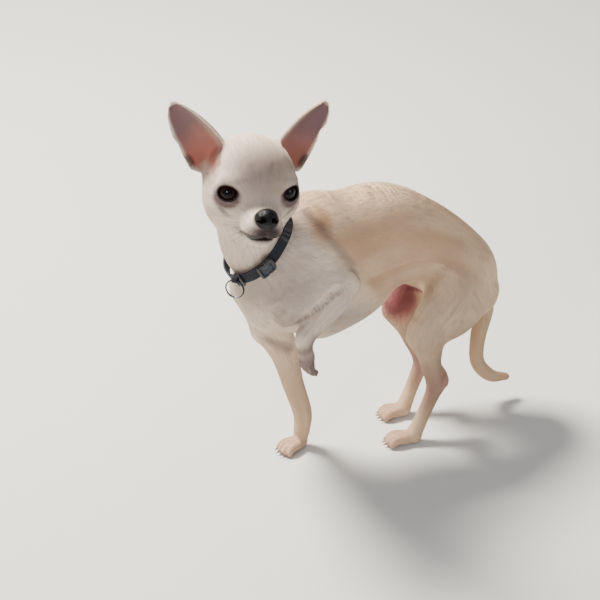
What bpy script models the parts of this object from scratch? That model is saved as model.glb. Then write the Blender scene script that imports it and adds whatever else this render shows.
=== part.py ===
"""A small smooth-coated dog standing on three feet with one forepaw raised.

Every form is a named tube or ball of flesh.  They are blended into one shape, which is
then parted into head, neck, torso, tail, legs and ears.  Lengths are in millimetres until
a mesh is made; the floor is z = 0, the dog faces -X and its left side is -Y.
"""
import bpy
import bmesh
import numpy as np
from math import pi, cos, sin
from mathutils import Vector

# driving sizes
GAP = 0.3                      # clear space between two parts
SHIFT = (40.35, 16.12, 0.0)      # puts the middle of the outline over the origin
HEAD = (-139.0, -20.0, 262.0)  # middle of the skull
FACING = (-0.253, -0.961, 0.115)
CROWN = (0.14, 0.081, 0.987)
EYE_RADIUS = 9.0
EYE_PLACE = (15.5, 19.5, -4.5)
EYE_AIM = (0.92, 0.38, 0.08)
EAR_LENGTH = 50.5
EAR_WIDTH = 17.5
EAR_CUP = 10.0
EAR_WALL = 1.2
EAR_LEAN = {1: 0.51, -1: 0.585}    # the left ear stands a little straighter
EAR_TURN = {1: 0.52, -1: 0.74}    # the right ear is turned a little further out
MOUTH_HEIGHT = -30.0
COLLAR_CENTRE = (-131.0, -8.0, 201.0)
COLLAR_AXIS = (-0.527, -0.08, 0.85)
NAPE_LIFT = 12.0                 # how far the collar climbs behind the head
SAG = 11.0                       # how far it hangs down in front
GROOVE = 6.0                     # how deep the collar presses into the nape
BAND_WIDTH = 10.0
BAND_THICK = 1.8
RING_RADIUS = 7.0
RING_WIRE = 1.0
RING_ANGLE = 0.44                # how far round the ring hangs, from the front to the left
RING_HEIGHT = 4.5                # its hook above the middle of the band
RING_STANDOFF = 2.2              # its wire off the band, with the loop that carries it
SLIDE_ANGLE = 0.42               # the slide that sets the band's length
SLIDE_SPREAD = 0.13
SLIDE_THICK = 1.6
BUCKLE_ANGLE = 1.36              # the buckle's middle, and half of its run
BUCKLE_SPREAD = 0.25
BUCKLE_THICK = 3.6
RING_FACE = (-0.77, -0.63, 0.04)

# joints of the skeleton
HIP = {-1: (48, -17, 146), 1: (52, 17, 144)}
STIFLE = {-1: (3, -32, 100), 1: (15, 24, 94)}
HOCK = {-1: (20, -28, 44), 1: (34, 13, 44)}
HIND_HEEL = {-1: (-2, -31, 5.5), 1: (12, 7, 5.5)}
HIND_TOE = {-1: (-21, -25, 5.5), 1: (-5, 11, 5.5)}
SHOULDER = {-1: (-117, -28, 156), 1: (-114, 26, 148)}
ELBOW = {-1: (-67.7, -37, 166), 1: (-100, 25, 108)}
WRIST = {-1: (-108.7, -41, 133), 1: (-81, 10, 31)}


def vec(*v):
    """A numpy vector."""
    return np.array(v, float)


def unit(v):
    """The vector at length one."""
    v = np.asarray(v, float)
    return v / np.linalg.norm(v)


def between(a, b, t, lift=(0, 0, 0)):
    """The point a share t of the way from a to b, moved by lift."""
    a = np.asarray(a, float)
    return tuple(a + (np.asarray(b, float) - a) * t + np.asarray(lift, float))


def smin(a, b, k):
    """Smooth union: the smaller value, rounded over a width k."""
    h = np.maximum(k - np.abs(a - b), 0) / k
    return np.minimum(a, b) - h * h * k / 4


def smax(a, b, k):
    """Smooth intersection."""
    return -smin(-a, -b, k)


def spline(rows, count):
    """A smooth curve through every row."""
    p = np.asarray(rows, float)
    ends = np.vstack([2 * p[0] - p[1], p, 2 * p[-1] - p[-2]])
    t = np.linspace(0, len(p) - 1, count)
    i = np.minimum(t.astype(int), len(p) - 2)
    u = (t - i)[:, None]
    a, b, c, d = ends[i], ends[i + 1], ends[i + 2], ends[i + 3]
    turn = (2 * a - 5 * b + 4 * c - d) * u**2 + (3 * b - a - 3 * c + d) * u**3
    return 0.5 * (2 * b + (c - a) * u + turn)


class Tube:
    """Ellipses swept along a curve; a row is x, y, z, half width, half height."""

    def __init__(self, rows, blend=8, side=(0, 1, 0), power=2.0, egg=0.0, carve=False):
        curve = spline(rows, 14 * (len(rows) - 1) + 1)
        self.blend, self.power, self.egg, self.carve = blend, power, egg, carve
        self.centre, self.radius = curve[:, :3], np.maximum(curve[:, 3:5], 0.3)
        step = np.gradient(self.centre, axis=0)
        self.size = np.linalg.norm(step, axis=1)
        self.along = step / self.size[:, None]
        side = np.asarray(side, float) - (self.along @ np.asarray(side, float))[:, None] * self.along
        self.side = side / np.linalg.norm(side, axis=1)[:, None]
        self.up = np.cross(self.along, self.side)
        reach = self.radius.max()
        self.low, self.high = self.centre.min(0) - reach, self.centre.max(0) + reach

    def field(self, p):
        """Signed distance, near enough: length of the offset times 1 - 1/q."""
        c = self.centre
        i = np.concatenate([np.argmin((c * c).sum(1) - 2 * (q @ c.T), axis=1)
                            for q in np.array_split(p, len(p) // 40000 + 1)])
        d = p - c[i]
        ends = (np.where(i == 0, 0, -0.6), np.where(i == len(c) - 1, 0, 0.6))
        h = np.clip((d * self.along[i]).sum(1) / self.size[i], *ends)[:, None]
        d = d - h * self.size[i][:, None] * self.along[i]
        ahead = np.minimum(i + 1, len(c) - 1)
        behind = np.maximum(i - 1, 0)
        slope = (self.radius[ahead] - self.radius[behind]) / np.maximum(ahead - behind, 1)[:, None]
        wide, tall = (self.radius[i] + h * slope).T
        x, y = (d * self.side[i]).sum(1), (d * self.up[i]).sum(1)
        length = (d * d).sum(1)
        z = np.sqrt(np.maximum(length - x * x - y * y, 0))
        if self.egg:
            wide = wide * (1 + self.egg * np.clip(y / tall, -1, 1))
        cap = np.minimum(wide, tall)
        e = self.power
        q = ((np.abs(x) / wide)**e + (np.abs(y) / tall)**e + (z / cap)**e)**(1 / e)
        return np.where(q < 0.001, -cap, np.sqrt(length) * (1 - 1 / np.maximum(q, 0.001)))


class Ball:
    """An ellipsoid with its three radii along the rows of axes."""

    def __init__(self, centre, radii, blend=8, axes=None, carve=False):
        self.centre, self.radii = np.asarray(centre, float), np.asarray(radii, float)
        self.axes = np.eye(3) if axes is None else axes
        self.blend, self.carve = blend, carve
        self.low, self.high = self.centre - self.radii.max(), self.centre + self.radii.max()

    def field(self, p):
        d = p - self.centre
        q = np.sqrt(((d @ self.axes.T / self.radii)**2).sum(1))
        length = np.sqrt((d * d).sum(1))
        return np.where(q < 0.001, -self.radii.min(), length * (1 - 1 / np.maximum(q, 0.001)))


class Ear:
    """A pointed leaf, hollow in front, with a wall of even thickness."""

    def __init__(self, base, along, opening, out):
        self.base, self.along = np.asarray(base, float), unit(along)
        opening = np.asarray(opening, float)
        self.front = unit(opening - (opening @ self.along) * self.along)
        self.across = np.cross(self.along, self.front) * out
        self.blend, self.carve = 5, False
        self.low, self.high = self.base - EAR_LENGTH - 8, self.base + EAR_LENGTH + 8

    def field(self, p):
        d = p - self.base
        u, v, w = d @ self.across, d @ self.along, d @ self.front
        t = np.clip(v / EAR_LENGTH, 0, 1)
        half = (EAR_WIDTH * (1 - t * t)**0.62 + 0.8) * (1 + 0.05 * np.clip(v, -14, 0))
        x = u / half
        cup = EAR_CUP * (1 - 0.65 * t)
        sheet = 3.0 * t * t - cup * (1 - np.clip(x * x, 0, 1.5))
        wall = np.abs(w - sheet) / np.sqrt(1 + (2 * cup * x / half)**2) - EAR_WALL * (1.3 - 0.45 * t)
        rim = np.maximum((np.abs(x) - 1) * half * 0.9, np.maximum(v - EAR_LENGTH, -v - 10))
        return smax(wall, rim, 1.5)


def union(forms, p, far=30.0):
    """Blend every form at the points p, in order."""
    value = np.full(len(p), far)
    for form in forms:
        margin = form.blend + 5
        near = np.nonzero(((p > form.low - margin) & (p < form.high + margin)).all(1))[0]
        if len(near) == 0:
            continue
        new = form.field(p[near])
        join = smax if form.carve else smin
        value[near] = join(value[near], -new if form.carve else new, form.blend)
    return value


# the head is described ahead, to the left and up from the middle of the skull
AHEAD = unit(FACING)
ABOVE = unit(np.asarray(CROWN) - (np.asarray(CROWN) @ AHEAD) * AHEAD)
LEFT = np.cross(ABOVE, AHEAD)
FRAME = np.stack([AHEAD, LEFT, ABOVE])


def in_head(a, b, c):
    """A place on the head: a ahead, b to the left, c up."""
    return vec(*HEAD) + a * AHEAD + b * LEFT + c * ABOVE


def head_tube(rows, blend, **more):
    placed = [(*in_head(*row[:3]), row[3], row[4]) for row in rows]
    return Tube(placed, blend, side=LEFT, **more)


def head_ball(place, radii, blend, carve=False):
    return Ball(in_head(*place), radii, blend, FRAME, carve)


def eye_place(s):
    """The middle of an eyeball and the way it looks."""
    a, b, c = EYE_PLACE
    aim = EYE_AIM[0] * AHEAD + s * EYE_AIM[1] * LEFT + EYE_AIM[2] * ABOVE
    return in_head(a, s * b, c), unit(aim)


def ear_form(s):
    along = 0.83 * ABOVE + EAR_LEAN[s] * s * LEFT - 0.10 * AHEAD
    return Ear(in_head(-12, 28 * s, 9), along, AHEAD + EAR_TURN[s] * s * LEFT, s)


def head_forms():
    """Skull, cheeks, brows, muzzle, jaw, lips, lids and ears."""
    forms = [head_ball((-7, 0, 0), (33, 31, 30), 4), head_ball((10, 0, 6), (20, 24, 19), 14)]
    for s in (1, -1):
        forms.append(head_ball((2, 20.5 * s, -14), (20, 14, 15), 12))
        forms.append(head_ball((20, 16 * s, 5), (9, 11, 6), 8))
        forms.append(head_ball((-8, 16.5 * s, -25), (17, 12, 13), 12))
    forms.append(head_tube([(8, 0, -14, 22, 17), (22, 0, -18, 17, 14), (33, 0, -20.3, 14.5, 11.8),
                            (42, 0, -20.6, 12.6, 10.2)], 10, power=2.3))
    forms.append(head_tube([(-14, 0, -28, 19, 9), (10, 0, -31, 16, 8), (30, 0, -34, 11, 6),
                            (39, 0, -33.5, 8, 5)], 6))
    for s in (1, -1):
        forms.append(head_ball((37, 7.5 * s, -24.5), (11, 7, 6.5), 4))
        middle, _ = eye_place(s)
        forms.append(Ball(middle, (11, 11, 11), 4))
    forms.append(head_ball((47.8, 0, -13.8), (7.7, 8.3, 7.0), 2.5))
    return forms + [ear_form(1), ear_form(-1)]


def leg_forms(s):
    """One hind leg from the hip to the heel."""
    hip, stifle, hock, heel = HIP[s], STIFLE[s], HOCK[s], HIND_HEEL[s]
    seat = (68, 14 * s, 108)
    return [
        Tube([(*hip, 15, 30), (*between(hip, stifle, 0.5, (6, 0, -1)), 15, 26),
              (*between(hip, stifle, 0.95), 12, 15)], 12),
        Tube([(*seat, 12, 16), (*between(seat, stifle, 0.45, (0, 4 * s, -2)), 13, 17),
              (*between(seat, stifle, 0.8, (0, 0, -5)), 11, 13)], 12),
        Tube([(*between(stifle, hock, 0.01), 11.5, 15), (*between(stifle, hock, 0.3, (2, 0, 0)), 9.5, 12.5),
              (*between(stifle, hock, 0.65), 6.5, 8.5), (*hock, 6, 7.5)], 6),
        Tube([(*between(hock, hock, 0, (1, 0, 2)), 6, 7.5), (*between(hock, heel, 0.5), 5.2, 6.2),
              (*between(hock, heel, 0.95), 6.2, 6.5)], 4),
        Tube([(*between(hock, hock, 0, (9, 0, 3)), 3.5, 3.5), (*between(hock, hock, 0, (6, 0, 12)), 3, 3.5),
              (*between(stifle, hock, 0.6), 5, 6)], 6)]


def paw_forms(heel, toe, sole, size=1.0):
    """A paw with four toes, from the heel towards toe, resting on its sole."""
    heel, toe, sole = vec(*heel), vec(*toe), unit(sole)
    reach = np.linalg.norm(toe - heel)
    ahead = unit(toe - heel - ((toe - heel) @ sole) * sole)
    across = np.cross(ahead, sole)
    place = lambda f, j, up: tuple(heel + ahead * f * reach + across * j * size - sole * up)
    forms = [Tube([(*place(0.0, 0, 0), 5.9 * size, 6.2), (*place(0.45, 0, -0.5), 7.4 * size, 5.4)],
                  4, side=across)]
    for j in (-1.5, -0.5, 0.5, 1.5):
        tip = 1.08 - 0.09 * abs(j)
        forms.append(Tube([(*place(0.35, 3.2 * j, 0.4), 3.2 * size, 3.8),
                           (*place(0.35 + 0.4 * tip, 4.1 * j, 0.3), 3.3 * size, 3.9),
                           (*place(tip, 4.6 * j, -2.4), 3.0 * size, 3.4)], 1.5, side=across))
    return forms


def claw_places(heel, toe, sole, size=1.0):
    """Root and tip of each of the four claws of a paw."""
    heel, toe, sole = vec(*heel), vec(*toe), unit(sole)
    reach = np.linalg.norm(toe - heel)
    ahead = unit(toe - heel - ((toe - heel) @ sole) * sole)
    across = np.cross(ahead, sole)
    claws = []
    for j in (-1.5, -0.5, 0.5, 1.5):
        tip = 1.08 - 0.09 * abs(j)
        root = heel + ahead * (tip * reach + 0.6) + across * 4.6 * j * size + sole * 1.8
        claws.append((root, root + ahead * 5.4 * size + sole * 1.6 * size))
    return claws


PAWS = {
    "hindleg_left": (HIND_HEEL[-1], HIND_TOE[-1], (0, 0, -1), 0.88),
    "hindleg_right": (HIND_HEEL[1], HIND_TOE[1], (0, 0, -1), 0.88),
    "foreleg_right": ((-83, 8, 5.5), (-101, 5, 5.5), (0, 0, -1), 0.9),
    "foreleg_left": ((-104.7, -38, 114), (-100.2, -34, 98), (0.95, 0.2, 0.25), 0.9)}


def body_forms():
    """Torso, neck, four legs and tail."""
    forms = [Tube([(-116, 0, 152, 25, 36), (-88, 0, 160, 32, 58), (-55, 0, 164.5, 34, 58.5),
                   (-20, 0, 172, 33, 49), (12, 0, 164, 28, 36.5), (40, 0, 143.5, 26, 33),
                   (60, 0, 122, 24, 31), (72, 0, 104, 19, 22)], 6, egg=0.12),
             Tube([(-85, 0, 180, 30, 46), (-108, -2, 189, 28, 37), (-129, -7, 202, 24.5, 27.5),
                   (-136, -11, 221, 24, 25.5), (-139, -14, 244, 24, 24)], 14)]
    for s in (-1, 1):
        forms += leg_forms(s)
        forms.append(Tube([(-76, 15 * s, 203, 10, 20), (-100, 22.5 * s, 174, 14, 23),
                           (*SHOULDER[s], 13, 18)], 14))
    forms.append(Tube([(*SHOULDER[1], 13, 18), (*ELBOW[1], 12, 17)], 14))
    forms.append(Tube([(*ELBOW[1], 12, 16), (-90, 22, 81, 9.5, 12), (-86, 17, 57, 8, 9.5),
                       (*WRIST[1], 7.3, 8), (-82, 9, 14, 6.6, 6.8)], 8))
    forms.append(Tube([(*SHOULDER[-1], 12, 16), (-93, -33.5, 159, 12, 20), (*ELBOW[-1], 9, 12)], 8))
    forms.append(Tube([(*ELBOW[-1], 8.5, 10), (-79.7, -39, 156, 9.3, 11.5), (-95.7, -41, 144, 8, 9.5),
                       (*WRIST[-1], 7, 8)], 3.5))
    forms.append(Tube([(*WRIST[-1], 7, 8), (-106.7, -39, 122, 6.2, 7), (-104.7, -38, 113, 6.6, 6.2)], 4))
    for heel, toe, sole, size in PAWS.values():
        forms += paw_forms(heel, toe, sole, size)
    forms.append(Tube([(76, 0, 106, 9, 9), (83, -1, 87, 8.2, 8.2), (76, -4, 62, 7, 7), (75, -6, 40, 6.3, 6.3),
                       (87, -8, 24, 5.6, 5.6), (102, -10, 19, 3.4, 3.4)], 5))
    return forms


BODY = body_forms()
SKULL = head_forms()


def lid_opening(p, s):
    """Negative inside the almond between the lids and in front of the eyeball."""
    middle, aim = eye_place(s)
    corner = unit(np.cross(ABOVE, aim)) * s
    rise = np.cross(aim, corner) * s
    d = p - middle
    x, y, z = d @ corner, d @ rise, d @ aim
    almond = np.abs(y - 0.3 + 0.02 * x) - 5.0 * np.sqrt(np.clip(1 - (x / 6.7)**2, 0.0, 1))
    return np.maximum(np.maximum(almond, np.abs(x) - 6.7), 4.5 - z)


def mouth_line(p, skin):
    """Negative in the groove of the mouth, a shallow slit that follows the surface."""
    d = (p - vec(*HEAD)) @ FRAME.T
    a, b, c = d.T
    line = MOUTH_HEIGHT + 0.9 * np.cos(b * 0.42) * np.clip((a - 34) / 10, 0, 1) - 0.004 * (40 - a)**2
    slit = np.maximum(np.abs(c - line) - 0.7, -(skin + 1.7))
    crease = np.maximum(np.abs(b) - 0.6, np.maximum(MOUTH_HEIGHT - c, -(skin + 1.4)))
    crease = np.maximum(crease, np.maximum(c + 24, 40 - a))
    return np.minimum(np.maximum(slit, 23 - a), crease)


def nostrils(p):
    """Negative in the two comma-shaped nostrils."""
    hole = np.full(len(p), 30.0)
    for s in (1, -1):
        for place, radii in (((54.8, 3.6 * s, -12.8), (4, 1.9, 1.9)), ((53.8, 6.2 * s, -14.6), (4, 2.3, 1.1))):
            hole = np.minimum(hole, Ball(in_head(*place), radii, 2, FRAME).field(p))
    return hole


def collar_rise(angle):
    """How far the band lies off its own level: up behind the head, down on the right in front."""
    nape, front = 0.5 - 0.5 * np.cos(angle), 0.5 + 0.5 * np.cos(angle + 0.6)
    return NAPE_LIFT * nape**3 - SAG * front**2


COLLAR_UP = unit(COLLAR_AXIS)
COLLAR_FRONT = unit(vec(-1, 0, 0) - (vec(-1, 0, 0) @ COLLAR_UP) * COLLAR_UP)
COLLAR_SIDE = np.cross(COLLAR_UP, COLLAR_FRONT)


def collar_groove(p):
    """How deep the band presses into the neck, most at the nape and not at all in front."""
    d = p - vec(*COLLAR_CENTRE)
    angle = np.arctan2(d @ COLLAR_SIDE, d @ COLLAR_FRONT)
    deep = GROOVE * (0.5 - 0.5 * np.cos(angle - 0.2))
    return deep * np.exp(-((d @ COLLAR_UP - collar_rise(angle)) / 8)**2)


def flesh(p):
    """The whole dog at the points p: negative inside."""
    body, head = union(BODY, p), union(SKULL, p)
    value = smin(body, head, 10) + collar_groove(p)
    near = np.nonzero(np.linalg.norm(p - in_head(25, 0, -12), axis=1) < 42)[0]
    if len(near):
        q = p[near]
        part = smax(value[near], -mouth_line(q, value[near]), 0.6)
        part = smax(part, -nostrils(q), 0.6)
        for s in (1, -1):
            part = smax(part, -lid_opening(q, s), 0.8)
        value[near] = part
    return value


class Block:
    """A cutting block: the space behind a few planes, each a point and an outward way."""

    def __init__(self, *planes):
        self.planes = [(np.asarray(point, float), unit(way)) for point, way in planes]

    def field(self, p):
        value = np.full(len(p), -500.0)
        for point, way in self.planes:
            value = np.maximum(value, (p - point) @ way)
        return value


def hind_block(s):
    """A thigh and all below it: under a plane that leans out and back."""
    lean = np.cross((0.97, 0, -0.24), (0, 0.75 * s, 0.66)) * s
    return Block(((50, 3 * s, 97), lean), ((0, 0.9 * s, 0), (0, -s, 0)), ((-12, 0, 113), (-0.95, 0, 0.30)),
                 ((150, 0, 0), (1, 0, 0)))


def ear_block(s):
    """An ear, clear of the skull."""
    way = 0.80 * s * LEFT + 0.60 * ABOVE
    return Block((in_head(-12, 0, 0) + 32.6 * way, -way), (in_head(-50, 0, 0), -AHEAD),
                 (in_head(24, 0, 0), AHEAD), (in_head(0, 0, -17), -ABOVE))


def nose_block():
    """The leather of the nose: ahead of a sloping plane and round at the sides and below."""
    planes = [(in_head(44.5, 0, -7.5), -AHEAD - 0.27 * ABOVE)]
    for turn in np.radians((20, -10, -40, -65, -90, -115, -140, -170, -200)):
        reach = np.hypot(8.9 * cos(turn), 7.3 * sin(turn))
        way = cos(turn) * LEFT + sin(turn) * ABOVE
        planes.append((in_head(50, 0, -13.8) + reach * way, way))
    return Block(*planes)


def cutting_blocks():
    """The block of each part that is cut from the rest."""
    return {
        "hindleg_left": hind_block(-1),
        "hindleg_right": hind_block(1),
        "foreleg_right": Block(((-106, 14, 120), (-0.1, -0.55, 0.83)), ((0, 11, 105), (0, -0.99, 0.143)),
                               ((-76, 0, 110), (0.98, 0, 0.15))),
        "foreleg_left": Block(((0, -22, 0), (0, 1, 0)), ((-90, 0, 189), (-0.05, 0, 1)),
                              ((-47, 0, 150), (1, 0, -0.1)), ((-129, 0, 150), (-1, 0, 0.1))),
        "tail": Block(((80, -1, 90), (-0.2, 0, 1)), ((60, 0, 0), (-1, 0, 0)), ((0, 22, 0), (0, 1, 0)),
                      ((0, -22, 0), (0, -1, 0))),
        "head": Block((in_head(-12, 0, -37.5), (-0.10, -0.03, -1)), ((-106, 0, 228), (0.8, 0, -0.6))),
        "neck": Block(((-106, -1, 190), (0.86, 0.10, -0.50))),
        "ear_left": ear_block(1),
        "ear_right": ear_block(-1),
        "nose": nose_block(),
        "floor": Block(((0, 0, 0), (0, 0, 1)))}


BLOCKS = cutting_blocks()


def settle(value, tiny):
    """Nudge the corners where the surface would touch itself along an edge or at a point."""
    for _ in range(8):
        inside = value < 0
        for axis in range(3):
            sheet = np.moveaxis(value, axis, 2)
            now = np.moveaxis(inside, axis, 2)
            corners = [(slice(i, now.shape[0] - 1 + i), slice(j, now.shape[1] - 1 + j))
                       for i, j in ((0, 0), (1, 1), (0, 1), (1, 0))]
            a, b, c, d = [now[k] for k in corners]
            mixed = (a == b) & (c == d) & (a != c)
            for k in corners:
                sheet[k] = np.where(mixed & ~now[k], -tiny, sheet[k])
        inside = value < 0
        nx, ny, nz = value.shape
        cells = {(i, j, k): (slice(i, nx - 1 + i), slice(j, ny - 1 + j), slice(k, nz - 1 + k))
                 for i in (0, 1) for j in (0, 1) for k in (0, 1)}
        count = sum(inside[c].astype(np.int8) for c in cells.values())
        for i, j in ((0, 0), (0, 1), (1, 0), (1, 1)):
            near, far = cells[0, i, j], cells[1, 1 - i, 1 - j]
            part = value[near]
            part[(count == 2) & inside[near] & inside[far]] = tiny
            part[(count == 6) & ~inside[near] & ~inside[far]] = -tiny
    return value


def surface_net(value, xs, ys, zs):
    """Vertices and quads of the zero surface: one vertex in each cell that it crosses."""
    inside = value < 0
    nx, ny, nz = value.shape
    count = sum(inside[i:nx - 1 + i, j:ny - 1 + j, k:nz - 1 + k].astype(np.int8)
                for i in (0, 1) for j in (0, 1) for k in (0, 1))
    cell = np.nonzero((count > 0) & (count < 8))
    index = np.full(count.shape, -1, np.int64)
    index[cell] = np.arange(len(cell[0]))
    total, hits = np.zeros((len(cell[0]), 3)), np.zeros(len(cell[0]))
    place = lambda at: np.stack([xs[at[0]], ys[at[1]], zs[at[2]]], 1)
    quads = []
    for axis in range(3):
        first, second = [a for a in range(3) if a != axis]
        for o in (0, 1):
            for w in (0, 1):
                start = [c.copy() for c in cell]
                start[first] += o
                start[second] += w
                stop = [c.copy() for c in start]
                stop[axis] += 1
                start, stop = tuple(start), tuple(stop)
                a, b = value[start], value[stop]
                hit = (a < 0) != (b < 0)
                t = np.where(hit, a / np.where(hit, a - b, 1), 0)[:, None]
                pa, pb = place(start), place(stop)
                total += np.where(hit[:, None], pa + t * (pb - pa), 0)
                hits += hit
        low, high = [slice(None)] * 3, [slice(None)] * 3
        low[axis], high[axis] = slice(0, -1), slice(1, None)
        crossing = inside[tuple(low)] != inside[tuple(high)]
        edge = [e.copy() for e in np.nonzero(crossing)]
        turn = inside[tuple(low)][tuple(edge)]
        corners = []
        for da, db in ((0, 0), (1, 0), (1, 1), (0, 1)):
            at = [e.copy() for e in edge]
            at[first] -= da
            at[second] -= db
            corners.append(index[tuple(at)])
        quad = np.stack(corners, 1)
        turn = ~turn if axis == 1 else turn
        quads.append(np.where(turn[:, None], quad, quad[:, ::-1]))
    return total / hits[:, None], np.vstack(quads)


def sample(low, high, step, shape):
    """Values of shape on a grid; it is worked out only near the surface."""
    axes = [np.arange(a - 2 * step, b + 3 * step, step) for a, b in zip(low, high)]
    dims = [len(a) for a in axes]
    rough = [a[::4] for a in axes]
    grid = np.stack(np.meshgrid(*rough, indexing="ij"), -1).reshape(-1, 3)
    coarse = shape(grid).reshape([len(a) for a in rough])
    value = coarse
    close = np.abs(coarse) < 9 * step
    for axis in range(3):
        pad = [(1, 1) if a == axis else (0, 0) for a in range(3)]
        wide = np.pad(close, pad)
        lower = [slice(0, -2) if a == axis else slice(None) for a in range(3)]
        upper = [slice(2, None) if a == axis else slice(None) for a in range(3)]
        close = close | wide[tuple(lower)] | wide[tuple(upper)]
        value = np.repeat(value, 4, axis=axis)
    for axis in range(3):
        close = np.repeat(close, 4, axis=axis)
    keep = tuple(slice(0, n) for n in dims)
    value, close = value[keep].copy(), close[keep]
    at = np.nonzero(close)
    value[at] = shape(np.stack([a[i] for a, i in zip(axes, at)], 1))
    for axis in range(3):
        face = np.moveaxis(value, axis, 0)
        face[0], face[-1] = step, step
    return value, axes


def to_mesh(name, verts, faces):
    """A mesh in metres, moved so that the outline stands over the origin."""
    mesh = bpy.data.meshes.new(name)
    verts = (np.asarray(verts, float) + np.asarray(SHIFT)) / 1000
    mesh.from_pydata(verts.tolist(), [], [list(map(int, f)) for f in faces])
    mesh.update()
    return mesh


def to_object(name, mesh):
    obj = bpy.data.objects.new(name, mesh)
    bpy.context.scene.collection.objects.link(obj)
    return obj


def thinned(mesh, triangles):
    """The mesh as triangles, with edges collapsed until about that many are left."""
    obj = to_object("rough", mesh)
    tri = obj.modifiers.new("triangles", "TRIANGULATE")
    tri.quad_method = "BEAUTY"
    cut = obj.modifiers.new("collapse", "DECIMATE")
    cut.ratio = min(1.0, triangles / (2 * len(mesh.polygons)))
    graph = bpy.context.evaluated_depsgraph_get()
    result = bpy.data.meshes.new_from_object(obj.evaluated_get(graph))
    bpy.data.objects.remove(obj)
    return result


def cutter(name, mesh):
    obj = to_object(name, mesh)
    obj.hide_render = True
    obj.display_type = "WIRE"
    return obj


def block_cutter(name, block, grow):
    """A block as a solid: a large cube sliced by each plane, moved out by grow."""
    work = bmesh.new()
    bmesh.ops.create_cube(work, size=0.9)
    for point, way in block.planes:
        place = (point + way * grow + np.asarray(SHIFT)) / 1000
        parts = work.verts[:] + work.edges[:] + work.faces[:]
        cuts = bmesh.ops.bisect_plane(work, geom=parts, plane_co=place, plane_no=way, clear_outer=True)
        rim = [e for e in cuts["geom_cut"] if isinstance(e, bmesh.types.BMEdge)]
        bmesh.ops.edgeloop_fill(work, edges=rim)
    bmesh.ops.recalc_face_normals(work, faces=work.faces)
    mesh = bpy.data.meshes.new(name)
    work.to_mesh(mesh)
    work.free()
    return cutter(name, mesh)


def cut(obj, tool, operation, solver="EXACT"):
    mod = obj.modifiers.new(operation.lower() + " " + tool.name, "BOOLEAN")
    mod.operation = operation
    mod.solver = solver
    mod.object = tool
    return mod


def paint(obj, name, colour, roughness, metallic=0.0):
    material = bpy.data.materials.new(name)
    material.use_nodes = True
    shader = material.node_tree.nodes["Principled BSDF"]
    shader.inputs["Base Color"].default_value = (*colour, 1)
    shader.inputs["Roughness"].default_value = roughness
    shader.inputs["Metallic"].default_value = metallic
    obj.data.materials.clear()
    obj.data.materials.append(material)


def flesh_part(name, low, high, step, triangles, inside=(), outside=(), solver="EXACT"):
    """One part of the dog: the flesh inside some boxes and outside others."""
    def shape(p):
        value = flesh(p)
        for key in inside:
            value = np.maximum(value, BLOCKS[key].field(p) - 2.5 * step)
        for key in outside:
            value = np.maximum(value, -BLOCKS[key].field(p) - 2.5 * step)
        return value
    value, axes = sample(low, high, step, shape)
    verts, faces = surface_net(settle(value, 0.03 * step), *axes)
    obj = to_object(name, thinned(to_mesh(name, verts, faces), triangles))
    for key in inside:
        cut(obj, TOOLS[key, "keep"], "INTERSECT", solver)
    for key in outside:
        cut(obj, TOOLS[key, "clear"], "DIFFERENCE")
    paint(obj, name + " coat", COAT, 0.7)
    return obj


COAT = (0.72, 0.58, 0.45)


def ball_mesh(name, centre, radius, rings, segments):
    """A globe whose poles look along the eye."""
    middle, aim = centre
    tilt = Vector(aim).to_track_quat("Z", "Y")
    verts = [(0, 0, 1)]
    for r in range(1, rings):
        for k in range(segments):
            a, b = pi * r / rings, 2 * pi * k / segments
            verts.append((sin(a) * cos(b), sin(a) * sin(b), cos(a)))
    verts.append((0, 0, -1))
    faces = [(0, 1 + k, 1 + (k + 1) % segments) for k in range(segments)]
    for r in range(rings - 2):
        for k in range(segments):
            a, b = 1 + r * segments + k, 1 + r * segments + (k + 1) % segments
            faces.append((a, a + segments, b + segments, b))
    last = len(verts) - 1
    base = 1 + (rings - 2) * segments
    faces += [(last, base + (k + 1) % segments, base + k) for k in range(segments)]
    return to_mesh(name, [middle + radius * np.array(tilt @ Vector(v)) for v in verts], faces)


def claws_mesh(name, claws):
    """Small curved cones, one to each toe."""
    verts, faces = [], []
    for root, tip in claws:
        base = len(verts)
        along = unit(tip - root)
        side = unit(np.cross(along, (0.3, 0.1, 1.0)))
        rise = np.cross(side, along)
        for share, radius in ((-0.8, 1.6), (0.45, 1.2)):
            for k in range(6):
                angle = 2 * pi * k / 6
                offset = side * cos(angle) * radius + rise * sin(angle) * radius
                verts.append(root + (tip - root) * share + offset + rise * 0.5 * (share > 0))
        verts.append(tip)
        verts.append(root - (tip - root) * 0.8)
        for k in range(6):
            a, b = base + k, base + (k + 1) % 6
            faces += [(a, b, b + 6, a + 6), (a + 6, b + 6, base + 12), (b, a, base + 13)]
    mesh = to_mesh(name, verts, faces)
    work = bmesh.new()
    work.from_mesh(mesh)
    bmesh.ops.recalc_face_normals(work, faces=work.faces)
    work.to_mesh(mesh)
    work.free()
    return mesh


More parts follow.
